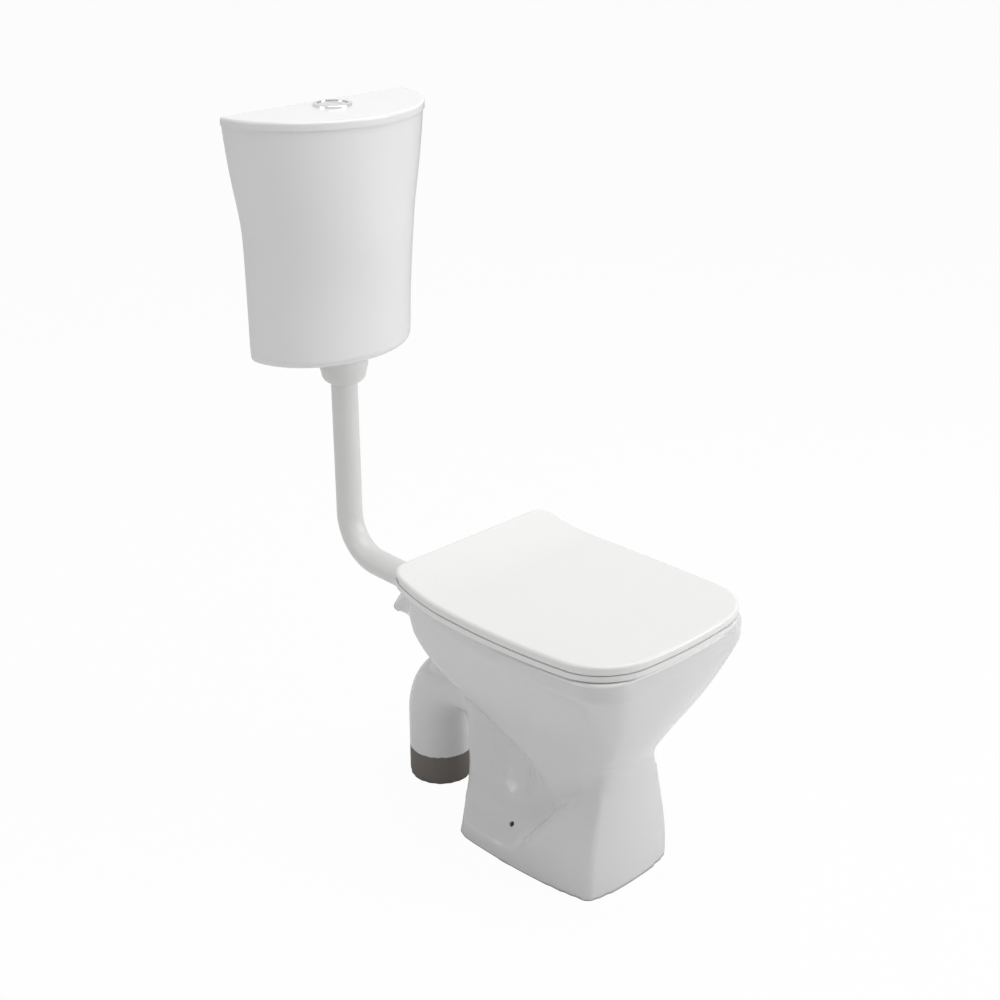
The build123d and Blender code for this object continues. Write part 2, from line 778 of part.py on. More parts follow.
deck_ceiling = deck_top - deck_plate
with BuildPart() as hinge_washers:
    with BuildSketch(Plane.XY.offset(deck_ceiling)):
        with Locations((-hinge_half, -hinge_back), (hinge_half, -hinge_back)):
            Circle(hinge_washer_radius)
            Circle(stud_radius, mode=Mode.SUBTRACT)
    extrude(amount=-hinge_washer_height)

with BuildPart() as hinge_wing_nuts:
    with BuildSketch(Plane.XY.offset(deck_ceiling - hinge_washer_height)):
        with Locations((-hinge_half, -hinge_back), (hinge_half, -hinge_back)):
            Circle(wing_nut_radius)
            Rectangle(2 * wing_reach, wing_thickness)
            Circle(stud_radius, mode=Mode.SUBTRACT)
    extrude(amount=-wing_nut_height)

# Rubber buffers: four under the ring, four under the lid, each seated on the plate that carries it
ring_buffer_shares = [(-0.84, 0.56), (0.84, 0.56), (-0.50, 0.945), (0.50, 0.945)]
with BuildPart() as ring_buffers:
    for across_share, reach_share in ring_buffer_shares:
        on_rim = seat_point(reach_share * seat_reach, buffer_gap - seat_gap)[1]
        with BuildSketch(Plane.XY.offset(on_rim)):
            with Locations((across_share * seat_half, -reach_share * seat_reach)):
                RectangleRounded(buffer_width, buffer_width, buffer_width / 4)
        extrude(amount=seat_gap - buffer_gap + buffer_seat)
    add(seat_ring.part, mode=Mode.SUBTRACT)

lid_buffer_shares = [(-0.80, 0.45), (0.80, 0.45), (-0.55, 0.93), (0.55, 0.93)]
with BuildPart() as lid_buffers:
    for across_share, reach_share in lid_buffer_shares:
        ring_top = seat_point(reach_share * seat_reach, ring_height)[1]
        with BuildSketch(Plane.XY.offset(ring_top + buffer_gap)):
            with Locations((across_share * seat_half, -reach_share * seat_reach)):
                Circle(lid_buffer_radius)
        extrude(amount=lid_ceiling - ring_height - buffer_gap + buffer_seat)
    add(seat_lid.part, mode=Mode.SUBTRACT)

# Cistern tank with the outlet and inlet holes in its floor and the two wall fixing holes
with BuildPart() as tank_inside:
    tank_form(tank_wall, wall_face - tank_wall)

with BuildPart() as cistern_tank:
    tank_form(0, wall_face + tank_back_trim)
    with BuildSketch(Plane.XZ.offset(-wall_face)):
        with Locations((0, tank_top)):
            Rectangle(4 * tank_half, 4 * tank_top)
    extrude(amount=-overrun, mode=Mode.SUBTRACT)
    add(tank_inside.part, mode=Mode.SUBTRACT)
    with BuildSketch(Plane.XY.offset(tank_bottom)):
        with Locations((0, pipe_back)):
            Circle(shank_radius + button_gap)
        with Locations((fill_half, fill_back)):
            Circle(fill_shank_radius + button_gap)
    extrude(amount=2 * tank_wall, both=True, mode=Mode.SUBTRACT)
    with BuildSketch(Plane.XZ.offset(-wall_face)):
        with Locations((-wall_fixing_half, wall_fixing_height), (wall_fixing_half, wall_fixing_height)):
            Circle(wall_fixing_radius)
    extrude(amount=2 * tank_wall, both=True, mode=Mode.SUBTRACT)

# Lift-off tank lid with a locating rib inside the tank
lid_underside = tank_top
lid_face = tank_top + tank_lid_thickness
with BuildPart() as cistern_lid:
    cover_half = tank_half + tank_lid_overhang
    cover = tank_section(lid_underside, cover_half, tank_depth + tank_lid_overhang, 0, wall_face)
    extrude(cover.sketch, amount=tank_lid_thickness)
    fillet(cistern_lid.faces().sort_by(Axis.Z)[-1].edges(), tank_lid_edge_round)
    rib_inset = tank_wall + tank_lid_clearance
    rib_foot = lid_underside - tank_lid_rib
    ceiling = lid_face - tank_lid_plate
    rib_outside = tank_section(rib_foot, tank_half, tank_depth, rib_inset, wall_face - rib_inset)
    extrude(rib_outside.sketch, amount=ceiling - rib_foot)
    rib_inner = rib_inset + tank_lid_rib_wall
    rib_inside = tank_section(rib_foot, tank_half, tank_depth, rib_inner, wall_face - rib_inner)
    extrude(rib_inside.sketch, amount=ceiling - rib_foot, mode=Mode.SUBTRACT)
    with Locations((0, pipe_back, lid_face)):
        Hole(collar_radius + button_gap / 2, depth=tank_lid_thickness)

# Push button: bezel with its threaded collar, nut, and the two half-moon buttons with their rods
with BuildPart() as button_bezel:
    with BuildSketch(Plane.XY.offset(lid_face)):
        with Locations((0, pipe_back)):
            Circle(bezel_radius)
            Circle(button_radius + button_gap, mode=Mode.SUBTRACT)
    extrude(amount=bezel_height)
    fillet(button_bezel.faces().sort_by(Axis.Z)[-1].outer_wire().edges(), bezel_height * 0.6)
    with BuildSketch(Plane.XY.offset(lid_face)):
        with Locations((0, pipe_back)):
            Circle(collar_radius)
            Circle(button_radius + button_gap, mode=Mode.SUBTRACT)
    extrude(amount=-collar_length)

with BuildPart() as button_nut:
    with BuildSketch(Plane.XY.offset(lid_face - tank_lid_plate)):
        with Locations((0, pipe_back)):
            RegularPolygon(collar_nut_radius, 12)
            Circle(collar_radius + touch_gap / 3, mode=Mode.SUBTRACT)
    extrude(amount=-collar_nut_height)

button_top = lid_face + bezel_height - button_crown


def flush_button(side, inner_edge):
    """One half-moon button with its push rod, on one side of the split."""
    with BuildSketch(Plane.XY.offset(button_top)) as cap:
        with Locations((0, pipe_back)):
            Circle(button_radius)
            with Locations((-side * (button_radius - inner_edge), 0)):
                Rectangle(2 * button_radius, 2 * button_radius, mode=Mode.SUBTRACT)
    extrude(cap.sketch, amount=-button_height)
    with BuildSketch(Plane.XY.offset(button_top - button_height)) as rod:
        with Locations((side * push_rod_half + button_split / 2, pipe_back)):
            Circle(push_rod_radius)
    extrude(rod.sketch, amount=-(button_top - button_height - head_height - touch_gap))


with BuildPart() as full_flush_button:
    flush_button(-1, -button_split + button_gap / 2)
with BuildPart() as half_flush_button:
    flush_button(1, button_split + button_gap / 2)

# Flush valve on the tank's floor
tank_floor = tank_bottom + tank_wall
valve_floor = tank_floor + gasket_height
with BuildPart() as valve_gasket:
    with BuildSketch(Plane.XY.offset(tank_floor)):
        with Locations((0, pipe_back)):
            Circle(valve_flange_radius)
            Circle(shank_radius + button_gap, mode=Mode.SUBTRACT)
    extrude(amount=gasket_height)

with BuildPart() as valve_base:
    with BuildSketch(Plane.XY.offset(valve_floor)):
        with Locations((0, pipe_back)):
            Circle(valve_flange_radius)
            Circle(shank_radius - shank_wall, mode=Mode.SUBTRACT)
    extrude(amount=valve_flange_height)
    with BuildSketch(Plane.XY.offset(valve_floor)):
        with Locations((0, pipe_back)):
            Circle(shank_radius)
            Circle(shank_radius - shank_wall, mode=Mode.SUBTRACT)
    extrude(amount=-(shank_length + gasket_height + tank_wall))

with BuildPart() as outlet_locknut:
    with BuildSketch(Plane.XY.offset(tank_bottom)):
        with Locations((0, pipe_back)):
            RegularPolygon(locknut_radius, 8)
            Circle(shank_radius + touch_gap / 3, mode=Mode.SUBTRACT)
    extrude(amount=-locknut_height)

cage_floor = valve_floor + valve_flange_height
cage_top = cage_floor + cage_height
with BuildPart() as valve_cage:
    with BuildSketch(Plane.XY.offset(cage_floor)):
        with Locations((0, pipe_back)):
            Circle(cage_radius)
            Circle(cage_radius - cage_wall, mode=Mode.SUBTRACT)
    extrude(amount=cage_height)
    with BuildSketch(Plane.XY.offset(cage_top)):
        with Locations((0, pipe_back)):
            Circle(cage_radius)
            Circle(overflow_radius + valve_running_gap, mode=Mode.SUBTRACT)
    extrude(amount=-cage_wall)
    for turn in (0, 90):
        window = Plane(
            origin=(0, pipe_back, cage_floor + cage_sill + cage_window_height / 2),
            x_dir=(math.cos(math.radians(turn)), math.sin(math.radians(turn)), 0),
            z_dir=(-math.sin(math.radians(turn)), math.cos(math.radians(turn)), 0),
        )
        with BuildSketch(window):
            RectangleRounded(cage_window_width, cage_window_height, cage_window_width / 4)
        extrude(amount=2 * cage_radius, both=True, mode=Mode.SUBTRACT)

with BuildPart() as valve_head:
    with BuildSketch(Plane.XY.offset(cage_top)):
        for side in (-1, 1):
            with Locations((0, pipe_back + side * (cage_radius - head_leg_depth))):
                Rectangle(head_leg_width, head_leg_depth)
    extrude(amount=head_height - cage_top)
    with BuildSketch(Plane.XY.offset(head_height)):
        with Locations((0, pipe_back)):
            Circle(cage_radius)
        for side in (-1, 1):
            with Locations((side * push_rod_half + button_split / 2, pipe_back)):
                Circle(rod_hole_radius, mode=Mode.SUBTRACT)
    extrude(amount=-head_plate)

seal_floor = cage_floor
with BuildPart() as valve_seal:
    with BuildSketch(Plane.XY.offset(seal_floor + touch_gap)):
        with Locations((0, pipe_back)):
            Circle(valve_seal_radius)
            Circle(overflow_radius - overflow_wall, mode=Mode.SUBTRACT)
    extrude(amount=valve_seal_height)

tube_foot = seal_floor + touch_gap + valve_seal_height
with BuildPart() as overflow_tube:
    with BuildSketch(Plane.XY.offset(tube_foot)):
        with Locations((0, pipe_back)):
            Circle(overflow_radius)
            Circle(overflow_radius - overflow_wall, mode=Mode.SUBTRACT)
    extrude(amount=overflow_top - tube_foot)
    with BuildSketch(Plane.XY.offset(tube_foot)):
        with Locations((0, pipe_back)):
            Circle(overflow_flange_radius)
            Circle(overflow_radius - overflow_wall, mode=Mode.SUBTRACT)
    extrude(amount=overflow_flange_height)

# Coupling under the tank: a cup that tapers to the pipe, with its cone washer
cup_top = tank_bottom - locknut_height - touch_gap
cup_bottom = cup_top - cup_height
pipe_top = cup_bottom + pipe_top_insert
cone_top = cup_top - cup_rim_height - cup_wall
cone_foot = pipe_top - pipe_top_insert / 2
cone_slope = (shank_radius - pipe_radius) / (cone_top - cone_foot)
with BuildPart() as outlet_cup:
    with BuildSketch(Plane.XZ.offset(-pipe_back)):
        with BuildLine():
            Polyline(
                (shank_radius + touch_gap / 3, cup_top),
                (cup_radius, cup_top),
                (cup_radius, cup_top - cup_rim_height),
                (pipe_radius + cup_wall + touch_gap, cup_bottom),
                (pipe_radius + touch_gap / 3, cup_bottom),
                (pipe_radius + touch_gap / 3, cone_foot),
                (shank_radius + touch_gap / 3, cone_top),
                close=True,
            )
        make_face()
    revolve(axis=Axis((0, pipe_back, 0), (0, 0, 1)))

with BuildPart() as cone_washer:
    washer_foot = cone_foot + seal_height / 4
    washer_top = washer_foot + seal_height
    with BuildSketch(Plane.XZ.offset(-pipe_back)):
        with BuildLine():
            Polyline(
                (pipe_radius, washer_foot),
                (pipe_radius + cone_slope * (washer_foot - cone_foot), washer_foot),
                (pipe_radius + cone_slope * (washer_top - cone_foot), washer_top),
                (pipe_radius, washer_top),
                close=True,
            )
        make_face()
    revolve(axis=Axis((0, pipe_back, 0), (0, 0, 1)))

# Flush pipe: down from the cup, round one bend and forward into the pan's inlet horn
with BuildLine(Plane.YZ) as pipe_path:
    pipe_end = horn_mouth - pipe_insert
    bend_centre = pipe_back - pipe_bend_radius
    Line((pipe_back, pipe_top), (pipe_back, horn_height + pipe_bend_radius))
    bend = CenterArc((bend_centre, horn_height + pipe_bend_radius), pipe_bend_radius, 0, -90)
    Line(bend @ 1, (pipe_end, horn_height))

with BuildPart() as flush_pipe:
    with BuildSketch(Plane((0, pipe_back, pipe_top), z_dir=(0, 0, -1))):
        Circle(pipe_radius)
        Circle(pipe_radius - pipe_wall, mode=Mode.SUBTRACT)
    sweep(path=pipe_path.wires()[0])

with BuildPart() as inlet_cone:
    with BuildSketch(Plane.XZ.offset(-horn_mouth)):
        with Locations((0, horn_height)):
            Circle(horn_bore_radius - touch_gap / 3)
            Circle(pipe_radius, mode=Mode.SUBTRACT)
    extrude(amount=cone_length)
    with BuildSketch(Plane.XZ.offset(-horn_mouth)):
        with Locations((0, horn_height)):
            Circle(cone_flange_radius)
            Circle(pipe_radius, mode=Mode.SUBTRACT)
    extrude(amount=-cone_flange)

# Fill valve with its bottom inlet, float arm and float
with BuildPart() as fill_washer:
    with BuildSketch(Plane.XY.offset(tank_floor)):
        with Locations((fill_half, fill_back)):
            Circle(fill_collar_radius)
            Circle(fill_shank_radius, mode=Mode.SUBTRACT)
    extrude(amount=fill_washer_height)

fill_floor = tank_floor + fill_washer_height
pivot_x = fill_half - float_pivot_reach
pivot_z = fill_head_height + fill_head_length - float_pivot_drop
with BuildPart() as fill_valve:
    with BuildSketch(Plane.XY.offset(fill_floor)):
        with Locations((fill_half, fill_back)):
            Circle(fill_collar_radius)
    extrude(amount=fill_collar_height)
    with BuildSketch(Plane.XY.offset(fill_floor)):
        with Locations((fill_half, fill_back)):
            Circle(fill_shank_radius)
    extrude(amount=-(tank_wall + fill_washer_height + fill_nut_height + fill_shank_step))
    with BuildSketch(Plane.XY.offset(tank_bottom)):
        with Locations((fill_half, fill_back)):
            Circle(inlet_radius)
    extrude(amount=-inlet_length)
    with BuildSketch(Plane.XY.offset(fill_floor)):
        with Locations((fill_half, fill_back)):
            Circle(riser_radius)
    extrude(amount=fill_head_height - fill_floor)
    with BuildSketch(Plane.XY.offset(fill_head_height)):
        with Locations((fill_half, fill_back)):
            Circle(fill_head_radius)
    extrude(amount=fill_head_length)
    for side in (-1, 1):
        ear_centre = fill_back + side * (arm_width / 2 + arm_side_gap + ear_thickness / 2)
        with BuildSketch(Plane.XY.offset(pivot_z - ear_height / 2)):
            with Locations((fill_half - ear_reach / 2, ear_centre)):
                Rectangle(ear_reach, ear_thickness)
        extrude(amount=ear_height)
    with BuildSketch(Plane.XZ.offset(-fill_back)):
        with Locations((pivot_x, pivot_z)):
            Circle(float_pin_radius)
    extrude(amount=arm_width + ear_thickness, both=True, mode=Mode.SUBTRACT)
    with BuildSketch(Plane.XY.offset(fill_floor - tank_wall - fill_washer_height - inlet_length)):
        with Locations((fill_half, fill_back)):
            Circle(inlet_bore)
    extrude(amount=fill_head_height - tank_floor, mode=Mode.SUBTRACT)
    silencer_back = fill_back - silencer_offset
    with BuildSketch(Plane.XY.offset(fill_head_height)):
        with Locations((fill_half, silencer_back)):
            Circle(silencer_radius)
    extrude(amount=fill_head_length / 2)

with BuildPart() as fill_locknut:
    with BuildSketch(Plane.XY.offset(tank_bottom)):
        with Locations((fill_half, fill_back)):
            RegularPolygon(fill_nut_radius, 6)
            Circle(fill_shank_radius + touch_gap / 3, mode=Mode.SUBTRACT)
    extrude(amount=-fill_nut_height)

with BuildPart() as silencer_tube:
    with BuildSketch(Plane.XY.offset(fill_head_height)):
        with Locations((fill_half, silencer_back)):
            Circle(silencer_radius)
            Circle(silencer_radius - silencer_wall, mode=Mode.SUBTRACT)
    extrude(amount=-silencer_length)

with BuildPart() as float_pin:
    with BuildSketch(Plane.XZ.offset(-fill_back)):
        with Locations((pivot_x, pivot_z)):
            Circle(float_pin_radius)
    extrude(amount=arm_width / 2 + arm_side_gap + ear_thickness, both=True)

float_face = pivot_x - float_setback
with BuildPart() as float_arm:
    with BuildSketch(Plane.XZ.offset(-fill_back)):
        with Locations((pivot_x, pivot_z)):
            Circle(arm_thickness / 2 + hinge_gap)
        with Locations(((pivot_x + float_face) / 2, pivot_z)):
            Rectangle(pivot_x - float_face, arm_thickness)
        with Locations((pivot_x, pivot_z)):
            Circle(float_pin_radius + hinge_clearance, mode=Mode.SUBTRACT)
    extrude(amount=arm_width / 2, both=True)

with BuildPart() as fill_float:
    with BuildSketch(Plane.XY.offset(pivot_z + arm_thickness / 2)):
        with Locations((float_face - float_width / 2, fill_back - float_setback)):
            RectangleRounded(float_width, float_depth, float_round)
    extrude(amount=-float_height)

# Every piece is labelled with its node's name and written to its own file
pieces = {
    "pan": pan,
    "seat_ring": seat_ring,
    "seat_lid": seat_lid,
    "hinge_posts": hinge_posts,
    "hinge_pins": hinge_pins,
    "hinge_studs": hinge_studs,
    "hinge_washers": hinge_washers,
    "hinge_wing_nuts": hinge_wing_nuts,
    "ring_buffers": ring_buffers,
    "lid_buffers": lid_buffers,
    "cistern_tank": cistern_tank,
    "cistern_lid": cistern_lid,
    "button_bezel": button_bezel,
    "button_nut": button_nut,
    "full_flush_button": full_flush_button,
    "half_flush_button": half_flush_button,
    "valve_gasket": valve_gasket,
    "valve_base": valve_base,
    "outlet_locknut": outlet_locknut,
    "valve_cage": valve_cage,
    "valve_head": valve_head,
    "valve_seal": valve_seal,
    "overflow_tube": overflow_tube,
    "outlet_cup": outlet_cup,
    "cone_washer": cone_washer,
    "flush_pipe": flush_pipe,
    "inlet_cone": inlet_cone,
    "fill_washer": fill_washer,
    "fill_valve": fill_valve,
    "fill_locknut": fill_locknut,
    "silencer_tube": silencer_tube,
    "float_pin": float_pin,
    "float_arm": float_arm,
    "fill_float": fill_float,
}
for name, piece in pieces.items():
    piece.part.label = name
    export_step(piece.part, f"parts/{name}.step")
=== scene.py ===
import json
import math

import bpy
from bpy.props import FloatProperty, FloatVectorProperty, IntProperty, PointerProperty
from mathutils import Matrix, Vector

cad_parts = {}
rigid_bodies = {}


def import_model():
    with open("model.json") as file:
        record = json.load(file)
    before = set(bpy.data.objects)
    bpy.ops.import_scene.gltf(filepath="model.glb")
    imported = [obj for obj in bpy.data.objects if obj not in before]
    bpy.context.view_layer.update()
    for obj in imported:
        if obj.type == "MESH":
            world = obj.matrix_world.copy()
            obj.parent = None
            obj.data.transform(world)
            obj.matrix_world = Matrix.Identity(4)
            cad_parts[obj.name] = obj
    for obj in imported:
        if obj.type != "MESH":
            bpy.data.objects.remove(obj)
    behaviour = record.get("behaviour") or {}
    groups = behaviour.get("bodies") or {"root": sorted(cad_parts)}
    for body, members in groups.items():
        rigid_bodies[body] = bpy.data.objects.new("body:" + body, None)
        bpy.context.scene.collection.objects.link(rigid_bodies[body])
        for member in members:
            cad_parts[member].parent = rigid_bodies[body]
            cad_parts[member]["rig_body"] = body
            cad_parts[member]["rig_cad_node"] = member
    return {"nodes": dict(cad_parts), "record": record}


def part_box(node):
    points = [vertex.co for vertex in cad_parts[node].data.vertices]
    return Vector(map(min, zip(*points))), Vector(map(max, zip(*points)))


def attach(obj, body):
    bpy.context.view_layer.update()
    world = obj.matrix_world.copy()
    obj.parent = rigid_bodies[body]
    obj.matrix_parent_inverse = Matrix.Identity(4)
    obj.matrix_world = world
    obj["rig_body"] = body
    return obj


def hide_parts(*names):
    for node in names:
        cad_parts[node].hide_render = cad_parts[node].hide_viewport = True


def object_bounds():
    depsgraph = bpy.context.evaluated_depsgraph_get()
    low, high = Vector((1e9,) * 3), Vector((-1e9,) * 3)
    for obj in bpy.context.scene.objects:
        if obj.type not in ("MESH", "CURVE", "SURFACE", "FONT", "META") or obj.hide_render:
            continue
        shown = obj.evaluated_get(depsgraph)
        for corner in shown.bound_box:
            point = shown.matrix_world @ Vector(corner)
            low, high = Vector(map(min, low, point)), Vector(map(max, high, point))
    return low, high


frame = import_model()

bl_info = {
    "name": "Floor-standing toilet with wall-hung cistern",
    "version": (1, 0, 0),
    "blender": (4, 5, 0),
    "location": "3D View > Sidebar > Toilet",
    "description": "Dresses the CAD model of a toilet pan, its seat, flush pipe and cistern",
    "category": "Object",
}

cad_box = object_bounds()


class ToiletForm(bpy.types.PropertyGroup):
    """Sizes used to soften the pan and to turn the outlet cup."""

    pan_grain: FloatProperty(
        name="Pan grain",
        description="Edge length of the pan's even mesh",
        default=0.0041,
        unit="LENGTH",
    )
    pan_passes: IntProperty(
        name="Glaze passes",
        description="Smoothing passes over the whole of the pan's body",
        default=2,
    )
    crease_passes: IntProperty(
        name="Crease passes",
        description="Smoothing passes where two parts of the pan meet",
        default=90,
    )
    crease_low: FloatProperty(
        name="Crease from",
        description="Inward bend at which a point begins to soften",
        default=0.00003,
        unit="LENGTH",
    )
    crease_high: FloatProperty(
        name="Crease full",
        description="Inward bend at which a point softens fully",
        default=0.00012,
        unit="LENGTH",
    )
    crease_rings: IntProperty(
        name="Crease reach",
        description="Rings of points that soften with a crease",
        default=8,
    )
    crease_fade: FloatProperty(
        name="Crease fade",
        description="Share of a crease's softening that reaches the next ring of points",
        default=0.93,
    )
    crease_angle: FloatProperty(
        name="Crease angle",
        description="Edges sharper than this stay crisp",
        default=math.radians(32),
        subtype="ANGLE",
    )
    foot_crisp: FloatProperty(
        name="Crisp foot",
        description="Height over the floor under which creases stay crisp",
        default=0.006,
        unit="LENGTH",
    )
    foot_soft: FloatProperty(
        name="Soft foot",
        description="Height over the floor from which creases soften fully",
        default=0.02,
        unit="LENGTH",
    )
    rim_soft: FloatProperty(
        name="Soft rim",
        description="Depth below the rim piece from which creases soften fully",
        default=0.02,
        unit="LENGTH",
    )
    cone_crisp: FloatProperty(
        name="Crisp inlet",
        description="Distance from the inlet's cone under which creases stay crisp",
        default=0.002,
        unit="LENGTH",
    )
    cone_soft: FloatProperty(
        name="Soft inlet",
        description="Distance from the inlet's cone from which creases soften fully",
        default=0.014,
        unit="LENGTH",
    )
    hollow_share: FloatProperty(
        name="Hollow depth",
        description="Share of the pan's half width taken by the hollow under the bowl",
        default=0.42,
    )
    hollow_width: FloatProperty(
        name="Hollow width",
        description="Reach of the hollow away from the bowl",
        default=0.05,
        unit="LENGTH",
    )
    hollow_edge: FloatProperty(
        name="Hollow edge",
        description="Width of the hollow's steep side",
        default=0.010,
        unit="LENGTH",
    )
    hollow_lean: FloatProperty(
        name="Hollow lean",
        description="Power that moves the hollow's deepest place towards the foot",
        default=1.6,
    )
    hollow_outer: FloatProperty(
        name="Hollow limit",
        description="Distance from the middle past which the hollow leaves the pan alone",
        default=0.092,
        unit="LENGTH",
    )
    hollow_inner: FloatProperty(
        name="Hollow full",
        description="Distance from the middle within which the hollow has its full depth",
        default=0.072,
        unit="LENGTH",
    )
    trim_side: FloatProperty(
        name="Trim side",
        description="Distance from the middle past which the foot's flare is drawn in",
        default=0.080,
        unit="LENGTH",
    )
    trim_height: FloatProperty(
        name="Trim height",
        description="Height over the floor under which the foot's flare is drawn in",
        default=0.07,
        unit="LENGTH",
    )
    trim_share: FloatProperty(
        name="Trim share",
        description="Share of what stands past the foot's line that is drawn in",
        default=0.92,
    )
    sole_share: FloatProperty(
        name="Sole",
        description="Height that is pressed flat on the floor, as a share of the pan's grain",
        default=0.7,
    )
    fixing_bore: FloatProperty(
        name="Fixing bore",
        description="Radius of the bore for the floor screw",
        default=0.0042,
        unit="LENGTH",
    )
    fixing_place: FloatVectorProperty(
        name="Fixing place",
        description="Middle of the right floor screw's bore",
        default=(0.0765, -0.2393, 0.0478),
        subtype="XYZ",
    )
    fixing_lean: FloatVectorProperty(
        name="Fixing lean",
        description="Direction of the right floor screw's bore, outwards and up",
        default=(0.77, 0.0, 0.64),
        subtype="XYZ",
    )
    rim_drop: FloatProperty(
        name="Rim piece",
        description="Depth of the separate rim piece below its top",
        default=0.0195,
        unit="LENGTH",
    )
    rim_lap: FloatProperty(
        name="Rim lap",
        description="How far the pan's body reaches up inside the rim piece",
        default=0.003,
        unit="LENGTH",
    )
    lap_inset: FloatProperty(
        name="Lap inset",
        description="How far the lap stands back from the glaze",
        default=0.0003,
        unit="LENGTH",
    )
    cup_lift: FloatProperty(
        name="Cup lift",
        description="Height of the cup's lower edge over its CAD node's",
        default=0.0088,
        unit="LENGTH",
    )
    cup_round: FloatProperty(
        name="Cup rounding",
        description="Height of the cup's rounded lower end",
        default=0.0155,
        unit="LENGTH",
    )
    cup_steps: IntProperty(
        name="Cup steps",
        description="Faces along the cup's rounded lower end",
        default=8,
    )
    cup_swell: FloatProperty(
        name="Cup radius",
        description="Radius of the cup over its rounded end",
        default=0.0347,
        unit="LENGTH",
    )
    cup_fit: FloatProperty(
        name="Cup fit",
        description="Gap between the cup's bore and the flush pipe",
        default=0.0001,
        unit="LENGTH",
    )
    cup_lip: FloatProperty(
        name="Cup lip",
        description="Flat width of the cup's lower edge",
        default=0.0008,
        unit="LENGTH",
    )
    cup_collar: FloatProperty(
        name="Cup collar",
        description="Height of the cup's straight upper part",
        default=0.014,
        unit="LENGTH",
    )
    cup_wall: FloatProperty(
        name="Cup wall",
        description="Wall of the cup at its upper edge",
        default=0.0045,
        unit="LENGTH",
    )
    cup_shelf: FloatProperty(
        name="Cup shelf",
        description="Width of the shelf inside the cup, on which the cone washer sits",
        default=0.0032,
        unit="LENGTH",
    )
    cup_shelf_height: FloatProperty(
        name="Shelf height",
        description="Height of that shelf over the CAD node's lower edge",
        default=0.0112,
        unit="LENGTH",
    )


class ToiletFinish(bpy.types.PropertyGroup):
    """Colours of the finishes and the places of the unglazed clay."""

    glaze_colour: FloatVectorProperty(
        name="Glaze",
        description="White glaze of the pan",
        default=(0.765, 0.765, 0.765),
        subtype="COLOR",
    )
    bare_colour: FloatVectorProperty(
        name="Bare clay",
        description="Unglazed end of the outlet",
        default=(0.17, 0.155, 0.14),
        subtype="COLOR",
    )
    seat_colour: FloatVectorProperty(
        name="Seat",
        description="White plastic of the seat and lid",
        default=(0.90, 0.90, 0.89),
        subtype="COLOR",
    )
    tank_colour: FloatVectorProperty(
        name="Cistern",
        description="White plastic of the cistern",
        default=(0.89, 0.89, 0.89),
        subtype="COLOR",
    )
    pipe_colour: FloatVectorProperty(
        name="Flush pipe",
        description="White plastic of the flush pipe",
        default=(0.82, 0.82, 0.81),
        subtype="COLOR",
    )
    fitting_colour: FloatVectorProperty(
        name="Fittings",
        description="Pale plastic of the valves and nuts",
        default=(0.62, 0.62, 0.61),
        subtype="COLOR",
    )
    steel_colour: FloatVectorProperty(
        name="Steel",
        description="Hinge and pin metal",
        default=(0.55, 0.56, 0.57),
        subtype="COLOR",
    )
    chrome_colour: FloatVectorProperty(
        name="Chrome",
        description="Plated push button",
        default=(0.66, 0.66, 0.67),
        subtype="COLOR",
    )
    rubber_colour: FloatVectorProperty(
        name="Rubber",
        description="Washers and seals",
        default=(0.03, 0.03, 0.03),
        subtype="COLOR",
    )
    buffer_colour: FloatVectorProperty(
        name="Buffers",
        description="Pale rubber of the seat's buffers",
        default=(0.70, 0.70, 0.69),
        subtype="COLOR",
    )
    bore_heart: FloatVectorProperty(
        name="Bore's inside",
        description="Middle of the bare clay inside the floor screw's bore",
        default=(0.0675, -0.2393, 0.0403),
        subtype="XYZ",
    )
    bore_reach: FloatProperty(
        name="Bore's reach",
        description="Distance from that middle at which the clay gives way to the glaze",
        default=0.0120,
        unit="LENGTH",
    )
    band_height: FloatProperty(
        name="Bare band",
        description="Height of the unglazed band on the outlet",
        default=0.049,
        unit="LENGTH",
    )
    band_wander: FloatProperty(
        name="Band wander",
        description="Slow rise and fall of the band's edge",
        default=0.010,
        unit="LENGTH",
    )
    band_fray: FloatProperty(
        name="Band fray",
        description="Fine rise and fall of the band's edge",
        default=0.003,
        unit="LENGTH",
    )
    leg_front: FloatProperty(
        name="Leg's front",
        description="Where the outlet's leg begins, behind the foot",
        default=-0.060,
        unit="LENGTH",
    )


